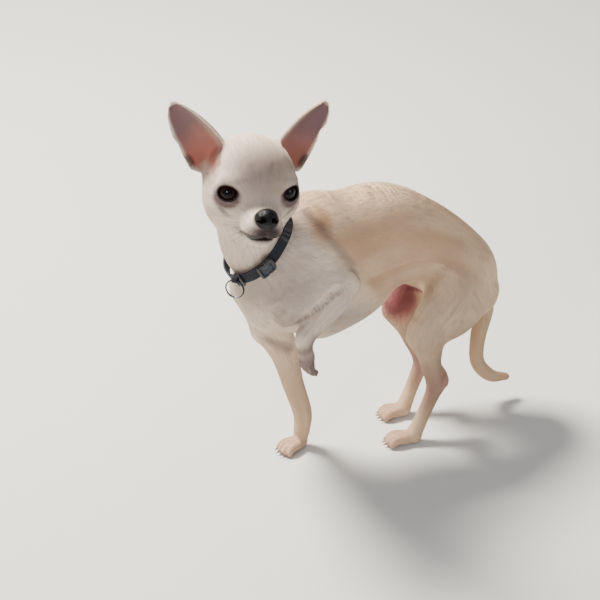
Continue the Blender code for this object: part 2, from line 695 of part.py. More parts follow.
def build_flesh():
    """Every node of the dog's own body."""
    add = flesh_part
    limbs = ("hindleg_left", "hindleg_right", "foreleg_left", "foreleg_right", "tail")
    add("torso", (-145, -45, 85), (105, 50, 235), 2.6, 2400, outside=("neck",) + limbs)
    add("neck", (-170, -50, 140), (-70, 45, 260), 2.2, 900,
        inside=("neck",), outside=("head", "foreleg_left"))
    add("tail", (60, -25, 5), (112, 15, 105), 1.6, 420, inside=("tail",))
    for name, low, high in (("hindleg_left", (-40, -55, 0), (100, 2, 165)),
                            ("hindleg_right", (-25, -2, 0), (100, 50, 160)),
                            ("foreleg_right", (-125, -12, 0), (-50, 50, 145)),
                            ("foreleg_left", (-138, -60, 80), (-40, -15, 205))):
        clear = ("tail",) if name.startswith("hind") else ()
        leg = add(name, low, high, 1.7, 1450, inside=(name,), outside=clear)
        if low[2] == 0:
            cut(leg, TOOLS["floor", "under"], "DIFFERENCE")
        claws = claws_mesh("claws", claw_places(*PAWS[name]))
        cut(leg, cutter("claws of " + name, claws), "UNION")
    head = add("head", in_head(0, 0, 0) - 75, in_head(0, 0, 0) + 65, 1.25, 3300,
               inside=("head",), outside=("ear_left", "ear_right", "nose"))
    for s, side in ((1, "left"), (-1, "right")):
        low, high = in_head(-12, 28 * s, 9) - 58, in_head(-12, 28 * s, 9) + 58
        ear = add("ear_" + side, low, high, 1.1, 800, inside=("ear_" + side,))
        paint(ear, "ear skin " + side, (0.62, 0.36, 0.26), 0.65)
        place = eye_place(s)
        socket = cutter("socket_" + side, ball_mesh("socket", place, EYE_RADIUS + GAP, 12, 20))
        cut(head, socket, "DIFFERENCE")
        eye = to_object("eye_" + side, ball_mesh("eye", place, EYE_RADIUS, 12, 20))
        paint(eye, "eye " + side, (0.02, 0.012, 0.01), 0.08)
    nose = add("nose", in_head(52, 0, -16) - 14, in_head(52, 0, -16) + 14, 0.8, 420,
               inside=("nose",), solver="MANIFOLD")
    paint(nose, "nose leather", (0.03, 0.025, 0.03), 0.4)


def band_radius(angles, height):
    """How far the flesh lies from the collar's axis, at each angle and height."""
    reach = np.linspace(14, 74, 241)
    way = np.cos(angles)[:, None] * COLLAR_FRONT + np.sin(angles)[:, None] * COLLAR_SIDE
    start = vec(*COLLAR_CENTRE) + (height + collar_rise(angles))[:, None] * COLLAR_UP
    points = start[:, None, :] + way[:, None, :] * reach[None, :, None]
    value = flesh(points.reshape(-1, 3)).reshape(len(angles), -1)
    return reach[(value > 0).argmax(1)]


def smoothed(values, times=6):
    for _ in range(times):
        values = (np.roll(values, 1) + 2 * values + np.roll(values, -1)) / 4
    return values


def collar_line(count=72):
    """Radius of the band's inner face all round, clear of the neck at both its edges."""
    angles = np.arange(count) * 2 * pi / count
    wide = np.max([band_radius(angles, h) for h in np.linspace(-0.5, 0.5, 5) * BAND_WIDTH], axis=0)
    wide = np.max([np.roll(wide, k) for k in (-2, -1, 0, 1, 2)], axis=0)
    return angles, smoothed(wide) + GAP + 0.7


def sweep(name, sections):
    """A closed ring of sections, each a list of corners."""
    count, width = len(sections), len(sections[0])
    verts = [p for section in sections for p in section]
    faces = []
    for i in range(count):
        for k in range(width):
            a, b = i * width + k, i * width + (k + 1) % width
            c, d = ((i + 1) % count) * width + (k + 1) % width, ((i + 1) % count) * width + k
            faces.append((a, b, c, d))
    mesh = to_mesh(name, verts, faces)
    work = bmesh.new()
    work.from_mesh(mesh)
    bmesh.ops.recalc_face_normals(work, faces=work.faces)
    work.to_mesh(mesh)
    work.free()
    return mesh


def collar_point(angle, out, height, angles, radii):
    """A place on the collar: out from the band's inner face, height along its axis."""
    r = np.interp(angle % (2 * pi), np.append(angles, 2 * pi), np.append(radii, radii[0]))
    way = cos(angle) * COLLAR_FRONT + sin(angle) * COLLAR_SIDE
    return vec(*COLLAR_CENTRE) + way * (r + out) + COLLAR_UP * (height + collar_rise(angle))


def build_collar():
    """Webbing band, slide, buckle and ring."""
    angles, radii = collar_line()
    half = BAND_WIDTH / 2
    corners = ((0, -half), (BAND_THICK, -half), (BAND_THICK, half), (0, half))
    sections = [[collar_point(a, out, h, angles, radii) for out, h in corners] for a in angles]
    band = to_object("collar_band", sweep("band", sections))
    paint(band, "webbing", (0.03, 0.04, 0.08), 0.75)
    black = (0.015, 0.015, 0.02)
    hardware = (("collar_buckle", BUCKLE_ANGLE, BUCKLE_SPREAD, half + 1.2, BUCKLE_THICK, 0.3),
                ("collar_slide", SLIDE_ANGLE, SLIDE_SPREAD, half + 1.6, SLIDE_THICK, 0.35))
    for name, middle, spread, tall, thick, roughness in hardware:
        rows = []
        for k in range(7):
            a = middle + spread * (k / 3 - 1)
            edge = 1.0 if 0 < k < 6 else 0.8
            rows.append([collar_point(a, out, h, angles, radii) for out, h in
                         ((BAND_THICK + GAP, -tall * edge), (BAND_THICK + GAP + thick * edge, -tall * edge * 0.8),
                          (BAND_THICK + GAP + thick * edge, tall * edge * 0.8), (BAND_THICK + GAP, tall * edge))])
        verts = [p for row in rows for p in row]
        faces = [(i * 4 + k, i * 4 + (k + 1) % 4, (i + 1) * 4 + (k + 1) % 4, (i + 1) * 4 + k)
                 for i in range(6) for k in range(4)]
        faces += [(3, 2, 1, 0), (24, 25, 26, 27)]
        mesh = to_mesh(name, verts, faces)
        work = bmesh.new()
        work.from_mesh(mesh)
        bmesh.ops.recalc_face_normals(work, faces=work.faces)
        work.to_mesh(mesh)
        work.free()
        paint(to_object(name, mesh), name.replace("_", " "), black, roughness)
    build_ring(angles, radii)


def build_ring(angles, radii):
    """A wire ring that hangs at the front of the band and faces forward and left."""
    face = unit(RING_FACE)
    down = unit(vec(0, 0, -1) + face * face[2])
    across = np.cross(down, face)
    off = BAND_THICK + 2 * GAP + RING_WIRE + RING_STANDOFF
    hook = collar_point(RING_ANGLE, off, RING_HEIGHT, angles, radii)
    middle = hook + down * RING_RADIUS
    sections = []
    for k in range(28):
        a = 2 * pi * k / 28
        way = across * cos(a) + down * sin(a)
        sections.append([middle + way * RING_RADIUS + (way * cos(b) + face * sin(b)) * RING_WIRE
                         for b in (2 * pi * j / 8 for j in range(8))])
    ring = to_object("collar_ring", sweep("ring", sections))
    paint(ring, "ring steel", (0.55, 0.55, 0.56), 0.25, 1.0)


for old in list(bpy.data.objects):
    bpy.data.objects.remove(old)
TOOLS = {}
for key, block in BLOCKS.items():
    TOOLS[key, "keep"] = block_cutter("keep_" + key, block, -GAP / 2)
    TOOLS[key, "clear"] = block_cutter("clear_" + key, block, GAP / 2)
TOOLS["floor", "under"] = block_cutter("under_floor", BLOCKS["floor"], 0)
build_flesh()
build_collar()
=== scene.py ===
"""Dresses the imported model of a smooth-coated chihuahua that stands with one forepaw raised.

One skin stands for all the nodes of flesh.  It is worked out from the same named tubes and
balls as the solids, a coat's depth further in, and carries short tufts that follow the lie
of the coat.  Eyes, nose leather, claws, whiskers and collar are pieces of their own.
Lengths are millimetres; the floor is z = 0, the dog faces -X and its left side is -Y.
"""
from math import pi

import bpy
import numpy as np
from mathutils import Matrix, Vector


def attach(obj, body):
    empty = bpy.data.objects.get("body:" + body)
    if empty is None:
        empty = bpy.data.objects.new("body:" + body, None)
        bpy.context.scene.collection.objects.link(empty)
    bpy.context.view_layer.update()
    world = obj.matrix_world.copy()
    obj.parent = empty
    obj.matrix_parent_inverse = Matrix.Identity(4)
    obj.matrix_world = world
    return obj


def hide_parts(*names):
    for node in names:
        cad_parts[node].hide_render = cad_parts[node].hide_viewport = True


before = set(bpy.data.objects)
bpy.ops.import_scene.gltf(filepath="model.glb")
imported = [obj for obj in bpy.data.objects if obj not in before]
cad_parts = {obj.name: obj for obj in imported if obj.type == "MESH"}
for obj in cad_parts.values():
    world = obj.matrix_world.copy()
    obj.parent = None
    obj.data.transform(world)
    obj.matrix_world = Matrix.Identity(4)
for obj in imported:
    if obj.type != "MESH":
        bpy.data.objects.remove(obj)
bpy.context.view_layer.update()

# sizes shared with the solids
SHIFT = np.array([40.35, 16.12, 0.0])
HEAD = np.array([-139.0, -20.0, 262.0])
FACING = (-0.253, -0.961, 0.115)
CROWN = np.array([0.14, 0.081, 0.987])
EYE_RADIUS = 9.0
EYE_PLACE = (15.5, 19.5, -4.5)
EYE_AIM = (0.92, 0.38, 0.08)
EAR_LENGTH = 50.5
EAR_WIDTH = 17.5
EAR_CUP = 10.0
EAR_WALL = 1.2
EAR_LEAN = {1: 0.51, -1: 0.585}
EAR_TURN = {1: 0.52, -1: 0.74}
MOUTH_HEIGHT = -30.0
MOUTH_FRONT = 40
MOUTH_CURVE = 0.004
COLLAR_CENTRE = np.array([-131.0, -8.0, 201.0])
COLLAR_AXIS = (-0.527, -0.08, 0.85)
NAPE_LIFT = 12.0
SAG = 11.0
GROOVE = 6.0
BAND_WIDTH = 10.0
BAND_THICK = 1.8
BAND_CLEAR = 1.0
RING_RADIUS = 7.0
RING_WIRE = 1.0
RING_ANGLE = 0.44
RING_FACE = (-0.77, -0.63, 0.04)
RING_HEIGHT = 4.5
RING_STANDOFF = 2.2
SLIDE_ANGLE = 0.42
SLIDE_SPREAD = 0.13
SLIDE_THICK = 1.6
BUCKLE_ANGLE = 1.36
BUCKLE_SPREAD = 0.25
BUCKLE_THICK = 3.6
GAP = 0.3

# joints of the skeleton
HIP = {-1: (48, -17, 146), 1: (52, 17, 144)}
STIFLE = {-1: (3, -32, 100), 1: (15, 24, 94)}
HOCK = {-1: (20, -28, 44), 1: (34, 13, 44)}
HIND_HEEL = {-1: (-2, -31, 5.5), 1: (12, 7, 5.5)}
HIND_TOE = {-1: (-21, -25, 5.5), 1: (-5, 11, 5.5)}
SHOULDER = {-1: (-117, -28, 156), 1: (-114, 26, 148)}
ELBOW = {-1: (-67.7, -37, 166), 1: (-100, 25, 108)}
WRIST = {-1: (-108.7, -41, 133), 1: (-81, 10, 31)}

# the line behind the shoulder where the fawn of the trunk begins: x + slope z = back
SHOULDER_SLOPE = 0.709
SHOULDER_BACK = 61.7

# points worked on at a time, tufts at most, tufts to a piece, and cells of noise each way
AT_ONCE = 20000
MOST_TUFTS = 350000
PIECE_TUFTS = 46000
CELLS = 128

# the camera stands where the photograph was taken
CAMERA_PLACE = (-661.45, -1065.38, 834.2)
CAMERA_AIM = (0.4305, 0.7594, -0.4879)
CAMERA_LENS = 112.5

random = np.random.default_rng(20)


def vec(*v):
    """A numpy vector."""
    return np.array(v, float)


def unit(v):
    """The vector, or each row of an array of vectors, at length one."""
    v = np.asarray(v, float)
    return v / np.maximum(np.linalg.norm(v, axis=-1, keepdims=True), 1e-9)


def square_to(v, axis):
    """The way of v at length one, with what runs along axis taken out."""
    return unit(v - (v @ axis) * axis)


def moved(a, x, y, z):
    """The point a moved by x, y and z."""
    return tuple(np.asarray(a, float) + (x, y, z))


def between(a, b, t, lift=(0, 0, 0)):
    """The point a share t of the way from a to b, moved by lift."""
    a = np.asarray(a, float)
    return tuple(a + (np.asarray(b, float) - a) * t + np.asarray(lift, float))


def smin(a, b, k):
    """Smooth union: the smaller value less h^2 k / 4, where h falls from 1 to 0 over k."""
    h = np.maximum(k - np.abs(a - b), 0) / k
    return np.minimum(a, b) - h * h * k / 4


def smax(a, b, k):
    """Smooth intersection."""
    return -smin(-a, -b, k)


def rise(value, low, high):
    """0 below low, 1 above high, and 3 t^2 - 2 t^3 between."""
    t = np.clip((value - low) / (high - low), 0, 1)
    return t * t * (3 - 2 * t)


def near_to(p, centre, low, high):
    """1 within low of a place, 0 beyond high."""
    return 1 - rise(np.linalg.norm(p - centre, axis=1), low, high)


def gaps(p, curve):
    """The squared distance of every point to every row of a curve."""
    return (p * p).sum(1)[:, None] - 2 * p @ curve.T + (curve**2).sum(1)[None]


def spline(rows, count):
    """A cubic through every row, with the tangent at each row half the chord of its neighbours."""
    p = np.asarray(rows, float)
    ends = np.vstack([2 * p[0] - p[1], p, 2 * p[-1] - p[-2]])
    t = np.linspace(0, len(p) - 1, count)
    i = np.minimum(t.astype(int), len(p) - 2)
    u = (t - i)[:, None]
    a, b, c, d = ends[i], ends[i + 1], ends[i + 2], ends[i + 3]
    turn = (2 * a - 5 * b + 4 * c - d) * u**2 + (3 * b - a - 3 * c + d) * u**3
    return 0.5 * (2 * b + (c - a) * u + turn)


class Tube:
    """Ellipses swept along a curve; a row is x, y, z, half width, half height."""

    def __init__(self, rows, blend=8, side=(0, 1, 0), power=2.0, egg=0.0):
        curve = spline(rows, 14 * (len(rows) - 1) + 1)
        self.blend, self.power, self.egg = blend, power, egg
        self.centre, self.radius = curve[:, :3], np.maximum(curve[:, 3:5], 0.3)
        step = np.gradient(self.centre, axis=0)
        self.size = np.linalg.norm(step, axis=1)
        self.along = step / self.size[:, None]
        side = np.asarray(side, float)
        self.side = unit(side - (self.along @ side)[:, None] * self.along)
        self.up = np.cross(self.along, self.side)
        reach = self.radius.max()
        self.low, self.high = self.centre.min(0) - reach, self.centre.max(0) + reach

    def nearest(self, p):
        """The row of the curve that lies nearest to each point."""
        c = self.centre
        parts = np.array_split(p, len(p) // (2 * AT_ONCE) + 1)
        return np.concatenate([np.argmin((c * c).sum(1) - 2 * (q @ c.T), axis=1) for q in parts])

    def field(self, p):
        """Signed distance, near enough: length of the offset times 1 - 1/q."""
        c, i = self.centre, self.nearest(p)
        d = p - c[i]
        ends = (np.where(i == 0, 0, -0.6), np.where(i == len(c) - 1, 0, 0.6))
        h = np.clip((d * self.along[i]).sum(1) / self.size[i], *ends)[:, None]
        d = d - h * self.size[i][:, None] * self.along[i]
        ahead = np.minimum(i + 1, len(c) - 1)
        behind = np.maximum(i - 1, 0)
        slope = (self.radius[ahead] - self.radius[behind]) / np.maximum(ahead - behind, 1)[:, None]
        wide, tall = (self.radius[i] + h * slope).T
        x, y = (d * self.side[i]).sum(1), (d * self.up[i]).sum(1)
        length = (d * d).sum(1)
        z = np.sqrt(np.maximum(length - x * x - y * y, 0))
        if self.egg:
            wide = wide * (1 + self.egg * np.clip(y / tall, -1, 1))
        cap = np.minimum(wide, tall)
        e = self.power
        q = ((np.abs(x) / wide)**e + (np.abs(y) / tall)**e + (z / cap)**e)**(1 / e)
        return np.where(q < 0.001, -cap, np.sqrt(length) * (1 - 1 / np.maximum(q, 0.001)))


class Ball:
    """An ellipsoid with its three radii along the rows of axes."""

    def __init__(self, centre, radii, blend=8, axes=None):
        self.centre, self.radii = np.asarray(centre, float), np.asarray(radii, float)
        self.axes = np.eye(3) if axes is None else axes
        self.blend = blend
        self.low, self.high = self.centre - self.radii.max(), self.centre + self.radii.max()

    def field(self, p):
        """Signed distance, near enough: length of the offset times 1 - 1/q."""
        d = p - self.centre
        q = np.sqrt(((d @ self.axes.T / self.radii)**2).sum(1))
        length = np.sqrt((d * d).sum(1))
        return np.where(q < 0.001, -self.radii.min(), length * (1 - 1 / np.maximum(q, 0.001)))


class Ear:
    """A pointed leaf, hollow in front, with a wall of even thickness."""

    def __init__(self, base, along, opening, out):
        self.base, self.along = np.asarray(base, float), unit(along)
        self.front = square_to(np.asarray(opening, float), self.along)
        self.across = np.cross(self.along, self.front) * out
        self.blend = 5
        self.low, self.high = self.base - EAR_LENGTH - 8, self.base + EAR_LENGTH + 8

    def place(self, p):
        """Along and in front of the root, share of the length, half width, share to the rim."""
        d = p - self.base
        u, v, w = d @ self.across, d @ self.along, d @ self.front
        t = np.clip(v / EAR_LENGTH, 0, 1)
        half = (EAR_WIDTH * (1 - t * t)**0.62 + 0.8) * (1 + 0.05 * np.clip(v, -14, 0))
        return v, w, t, half, u / half

    def cup(self, t, x):
        """The depth of the cup, and how far in front its sheet lies: 3 t^2 - depth (1 - x^2)."""
        depth = EAR_CUP * (1 - 0.65 * t)
        return depth, 3.0 * t * t - depth * (1 - np.clip(x * x, 0, 1.5))

    def field(self, p):
        """Distance to the sheet of the cup, less half the wall, inside the rim."""
        v, w, t, half, x = self.place(p)
        depth, sheet = self.cup(t, x)
        steep = np.sqrt(1 + (2 * depth * x / half)**2)
        wall = np.abs(w - sheet) / steep - EAR_WALL * (1.3 - 0.45 * t)
        rim = np.maximum((np.abs(x) - 1) * half * 0.9, np.maximum(v - EAR_LENGTH, -v - 10))
        return smax(wall, rim, 1.5)


def union(forms, p, far=30.0):
    """Blend every form at the points p, in order."""
    value = np.full(len(p), far)
    for form in forms:
        margin = form.blend + 5
        near = np.nonzero(((p > form.low - margin) & (p < form.high + margin)).all(1))[0]
        if len(near) == 0:
            continue
        value[near] = smin(value[near], form.field(p[near]), form.blend)
    return value


# the head is described ahead, to the left and up from the middle of the skull
AHEAD = unit(FACING)
ABOVE = square_to(CROWN, AHEAD)
LEFT = np.cross(ABOVE, AHEAD)
FRAME = np.stack([AHEAD, LEFT, ABOVE])


def in_head(a, b, c):
    """A place on the head: a ahead, b to the left, c up."""
    return HEAD + a * AHEAD + b * LEFT + c * ABOVE


def from_head(p):
    """Ahead, left and up from the middle of the skull, for each point."""
    return (p - HEAD) @ FRAME.T


def head_tube(rows, blend, **more):
    """A tube whose rows are places on the head."""
    placed = [(*in_head(*row[:3]), row[3], row[4]) for row in rows]
    return Tube(placed, blend, side=LEFT, **more)


def head_ball(place, radii, blend):
    """A ball at a place on the head, turned with it."""
    return Ball(in_head(*place), radii, blend, FRAME)


def eye_place(s):
    """The middle of an eyeball and the way it looks."""
    a, b, c = EYE_PLACE
    aim = EYE_AIM[0] * AHEAD + s * EYE_AIM[1] * LEFT + EYE_AIM[2] * ABOVE
    return in_head(a, s * b, c), unit(aim)


def eye_view(p, s):
    """Towards the outer corner, up and out from the middle of an eyeball, for each point."""
    middle, aim = eye_place(s)
    corner = unit(np.cross(ABOVE, aim)) * s
    lift = np.cross(aim, corner) * s
    d = p - middle
    return d @ corner, d @ lift, d @ aim


def ear_form(s):
    """One ear, leaning out and turned a little to the side."""
    along = 0.83 * ABOVE + EAR_LEAN[s] * s * LEFT - 0.10 * AHEAD
    return Ear(in_head(-12, 28 * s, 9), along, AHEAD + EAR_TURN[s] * s * LEFT, s)


def head_forms():
    """Skull, cheeks, brows, muzzle, jaw, lips, lids and ears."""
    forms = [head_ball((-7, 0, 0), (33, 31, 30), 4), head_ball((10, 0, 6), (20, 24, 19), 14)]
    for s in (1, -1):
        forms.append(head_ball((2, 20.5 * s, -14), (20, 14, 15), 12))
        forms.append(head_ball((20, 16 * s, 5), (9, 11, 6), 8))
        forms.append(head_ball((-8, 16.5 * s, -25), (17, 12, 13), 12))
    forms.append(head_tube([(8, 0, -14, 22, 17), (22, 0, -18, 17, 14), (33, 0, -20.3, 14.5, 11.8),
                            (42, 0, -20.6, 12.6, 10.2)], 10, power=2.3))
    forms.append(head_tube([(-14, 0, -28, 19, 9), (10, 0, -31, 16, 8), (30, 0, -34, 11, 6),
                            (39, 0, -33.5, 8, 5)], 6))
    for s in (1, -1):
        forms.append(head_ball((37, 7.5 * s, -24.5), (11, 7, 6.5), 4))
        middle, _ = eye_place(s)
        forms.append(Ball(middle, (11, 11, 11), 4))
    forms.append(head_ball((47.8, 0, -13.8), (7.7, 8.3, 7.0), 2.5))
    return forms + [ear_form(1), ear_form(-1)]


def leg_forms(s):
    """One hind leg from the hip to the heel."""
    hip, stifle, hock, heel = HIP[s], STIFLE[s], HOCK[s], HIND_HEEL[s]
    seat = (68, 14 * s, 108)
    return [
        Tube([(*hip, 15, 30), (*between(hip, stifle, 0.5, (6, 0, -1)), 15, 26),
              (*between(hip, stifle, 0.95), 12, 15)], 12),
        Tube([(*seat, 12, 16), (*between(seat, stifle, 0.45, (0, 4 * s, -2)), 13, 17),
              (*between(seat, stifle, 0.8, (0, 0, -5)), 11, 13)], 12),
        Tube([(*between(stifle, hock, 0.01), 11.5, 15),
              (*between(stifle, hock, 0.3, (2, 0, 0)), 9.5, 12.5),
              (*between(stifle, hock, 0.65), 6.5, 8.5), (*hock, 6, 7.5)], 6),
        Tube([(*moved(hock, 1, 0, 2), 6, 7.5), (*between(hock, heel, 0.5), 5.2, 6.2),
              (*between(hock, heel, 0.95), 6.2, 6.5)], 4),
        Tube([(*moved(hock, 9, 0, 3), 3.5, 3.5), (*moved(hock, 6, 0, 12), 3, 3.5),
              (*between(stifle, hock, 0.6), 5, 6)], 6)]


# each toe's place across the paw, from the inside out, and how far it reaches
TOES = [(j, 1.08 - 0.09 * abs(j)) for j in (-1.5, -0.5, 0.5, 1.5)]


def paw_ways(heel, toe, sole):
    """The heel, the paw's length, and the ways ahead, across and to the sole."""
    heel, toe, sole = vec(*heel), vec(*toe), unit(sole)
    ahead = square_to(toe - heel, sole)
    return heel, np.linalg.norm(toe - heel), ahead, np.cross(ahead, sole), sole


def paw_forms(heel, toe, sole, size):
    """A paw with four toes, from the heel towards toe, resting on its sole."""
    heel, reach, ahead, across, sole = paw_ways(heel, toe, sole)
    place = lambda f, j, up: tuple(heel + ahead * f * reach + across * j * size - sole * up)
    forms = [Tube([(*place(0.0, 0, 0), 5.9 * size, 6.2), (*place(0.45, 0, -0.5), 7.4 * size, 5.4)],
                  4, side=across)]
    for j, tip in TOES:
        forms.append(Tube([(*place(0.35, 3.2 * j, 0.4), 3.2 * size, 3.8),
                           (*place(0.35 + 0.4 * tip, 4.1 * j, 0.3), 3.3 * size, 3.9),
                           (*place(tip, 4.6 * j, -2.4), 3.0 * size, 3.4)], 1.5, side=across))
    return forms


def claw_places(heel, toe, sole, size):
    """Root and tip of each of the four claws of a paw."""
    heel, reach, ahead, across, sole = paw_ways(heel, toe, sole)
    claws = []
    for j, tip in TOES:
        root = heel + ahead * (tip * reach + 0.6) + across * 4.6 * j * size + sole * 1.8
        claws.append((root, root + ahead * 5.4 * size + sole * 1.6 * size))
    return claws


PAWS = {
    "hindleg_left": (HIND_HEEL[-1], HIND_TOE[-1], (0, 0, -1), 0.88),
    "hindleg_right": (HIND_HEEL[1], HIND_TOE[1], (0, 0, -1), 0.88),
    "foreleg_right": ((-83, 8, 5.5), (-101, 5, 5.5), (0, 0, -1), 0.9),
    "foreleg_left": ((-104.7, -38, 114), (-100.2, -34, 98), (0.95, 0.2, 0.25), 0.9)}


def body_forms():
    """Torso, neck, four legs and tail."""
    forms = [Tube([(-116, 0, 152, 25, 36), (-88, 0, 160, 32, 58), (-55, 0, 164.5, 34, 58.5),
                   (-20, 0, 172, 33, 49), (12, 0, 164, 28, 36.5), (40, 0, 143.5, 26, 33),
                   (60, 0, 122, 24, 31), (72, 0, 104, 19, 22)], 6, egg=0.12),
             Tube([(-85, 0, 180, 30, 46), (-108, -2, 189, 28, 37), (-129, -7, 202, 24.5, 27.5),
                   (-136, -11, 221, 24, 25.5), (-139, -14, 244, 24, 24)], 14)]
    for s in (-1, 1):
        forms += leg_forms(s)
        forms.append(Tube([(-76, 15 * s, 203, 10, 20), (-100, 22.5 * s, 174, 14, 23),
                           (*SHOULDER[s], 13, 18)], 14))
    forms.append(Tube([(*SHOULDER[1], 13, 18), (*ELBOW[1], 12, 17)], 14))
    forms.append(Tube([(*ELBOW[1], 12, 16), (-90, 22, 81, 9.5, 12), (-86, 17, 57, 8, 9.5),
                       (*WRIST[1], 7.3, 8), (-82, 9, 14, 6.6, 6.8)], 8))
    forms.append(Tube([(*SHOULDER[-1], 12, 16), (-93, -33.5, 159, 12, 20), (*ELBOW[-1], 9, 12)], 8))
    forms.append(Tube([(*ELBOW[-1], 8.5, 10), (-79.7, -39, 156, 9.3, 11.5),
                       (-95.7, -41, 144, 8, 9.5), (*WRIST[-1], 7, 8)], 3.5))
    forms.append(Tube([(*WRIST[-1], 7, 8), (-106.7, -39, 122, 6.2, 7),
                       (-104.7, -38, 113, 6.6, 6.2)], 4))
    for heel, toe, sole, size in PAWS.values():
        forms += paw_forms(heel, toe, sole, size)
    forms.append(Tube([(76, 0, 106, 9, 9), (83, -1, 87, 8.2, 8.2), (76, -4, 62, 7, 7),
                       (75, -6, 40, 6.3, 6.3), (87, -8, 24, 5.6, 5.6),
                       (102, -10, 19, 3.4, 3.4)], 5))
    return forms


BODY = body_forms()
SKULL = head_forms()


def lid_opening(p, s):
    """Negative inside the almond between the lids and in front of the eyeball."""
    x, y, z = eye_view(p, s)
    almond = np.abs(y - 0.3 + 0.02 * x) - 5.0 * np.sqrt(np.clip(1 - (x / 6.7)**2, 0.0, 1))
    return np.maximum(np.maximum(almond, np.abs(x) - 6.7), 4.5 - z)


def mouth_line(p, skin):
    """Negative in the groove of the mouth, a shallow slit that follows the surface."""
    a, b, c = from_head(p).T
    wave = 0.9 * np.cos(b * 0.42) * np.clip((a - 34) / 10, 0, 1)
    line = MOUTH_HEIGHT + wave - MOUTH_CURVE * (MOUTH_FRONT - a)**2
    slit = np.maximum(np.abs(c - line) - 0.7, -(skin + 1.7))
    crease = np.maximum(np.abs(b) - 0.6, np.maximum(MOUTH_HEIGHT - c, -(skin + 1.4)))
    crease = np.maximum(crease, np.maximum(c + 24, 40 - a))
    return np.minimum(np.maximum(slit, 23 - a), crease)


def nostrils(p):
    """Negative in the two comma-shaped nostrils."""
    hole = np.full(len(p), 30.0)
    for s in (1, -1):
        for place, radii in (((54.8, 3.6 * s, -12.8), (4, 1.9, 1.9)),
                             ((53.8, 6.2 * s, -14.6), (4, 2.3, 1.1))):
            hole = np.minimum(hole, Ball(in_head(*place), radii, 2, FRAME).field(p))
    return hole


def collar_rise(angle):
    """How far the band lies off its own level: up behind the head, down on the right in front."""
    nape, front = 0.5 - 0.5 * np.cos(angle), 0.5 + 0.5 * np.cos(angle + 0.6)
    return NAPE_LIFT * nape**3 - SAG * front**2


COLLAR_UP = unit(COLLAR_AXIS)
COLLAR_FRONT = square_to(vec(-1, 0, 0), COLLAR_UP)
COLLAR_SIDE = np.cross(COLLAR_UP, COLLAR_FRONT)


def collar_level(p):
    """Angle round the neck, and height above the middle of the band."""
    d = p - COLLAR_CENTRE
    angle = np.arctan2(d @ COLLAR_SIDE, d @ COLLAR_FRONT)
    return angle, d @ COLLAR_UP - collar_rise(angle)


def collar_groove(p):
    """How deep the band presses into the neck, most at the nape and not at all in front."""
    angle, level = collar_level(p)
    deep = GROOVE * (0.5 - 0.5 * np.cos(angle - 0.2))
    return deep * np.exp(-(level / 8)**2)


def flesh(p):
    """The whole dog at the points p: negative inside."""
    body, head = union(BODY, p), union(SKULL, p)
    value = smin(body, head, 10) + collar_groove(p)
    near = np.nonzero(np.linalg.norm(p - in_head(25, 0, -12), axis=1) < 42)[0]
    if len(near):
        q = p[near]
        part = smax(value[near], -mouth_line(q, value[near]), 0.6)
        part = smax(part, -nostrils(q), 0.6)
        for s in (1, -1):
            part = smax(part, -lid_opening(q, s), 0.8)
        value[near] = part
    return value


def settle(value, tiny):
    """Nudge the corners where the surface would touch itself along an edge or at a point."""
    for _ in range(8):
        inside = value < 0
        for axis in range(3):
            sheet = np.moveaxis(value, axis, 2)
            now = np.moveaxis(inside, axis, 2)
            corners = [(slice(i, now.shape[0] - 1 + i), slice(j, now.shape[1] - 1 + j))
                       for i, j in ((0, 0), (1, 1), (0, 1), (1, 0))]
            a, b, c, d = [now[k] for k in corners]
            mixed = (a == b) & (c == d) & (a != c)
            for k in corners:
                sheet[k] = np.where(mixed & ~now[k], -tiny, sheet[k])
        inside = value < 0
        nx, ny, nz = value.shape
        cells = {(i, j, k): (slice(i, nx - 1 + i), slice(j, ny - 1 + j), slice(k, nz - 1 + k))
                 for i in (0, 1) for j in (0, 1) for k in (0, 1)}
        count = sum(inside[c].astype(np.int8) for c in cells.values())
        for i, j in ((0, 0), (0, 1), (1, 0), (1, 1)):
            near, far = cells[0, i, j], cells[1, 1 - i, 1 - j]
            part = value[near]
            part[(count == 2) & inside[near] & inside[far]] = tiny
            part[(count == 6) & ~inside[near] & ~inside[far]] = -tiny
    return value


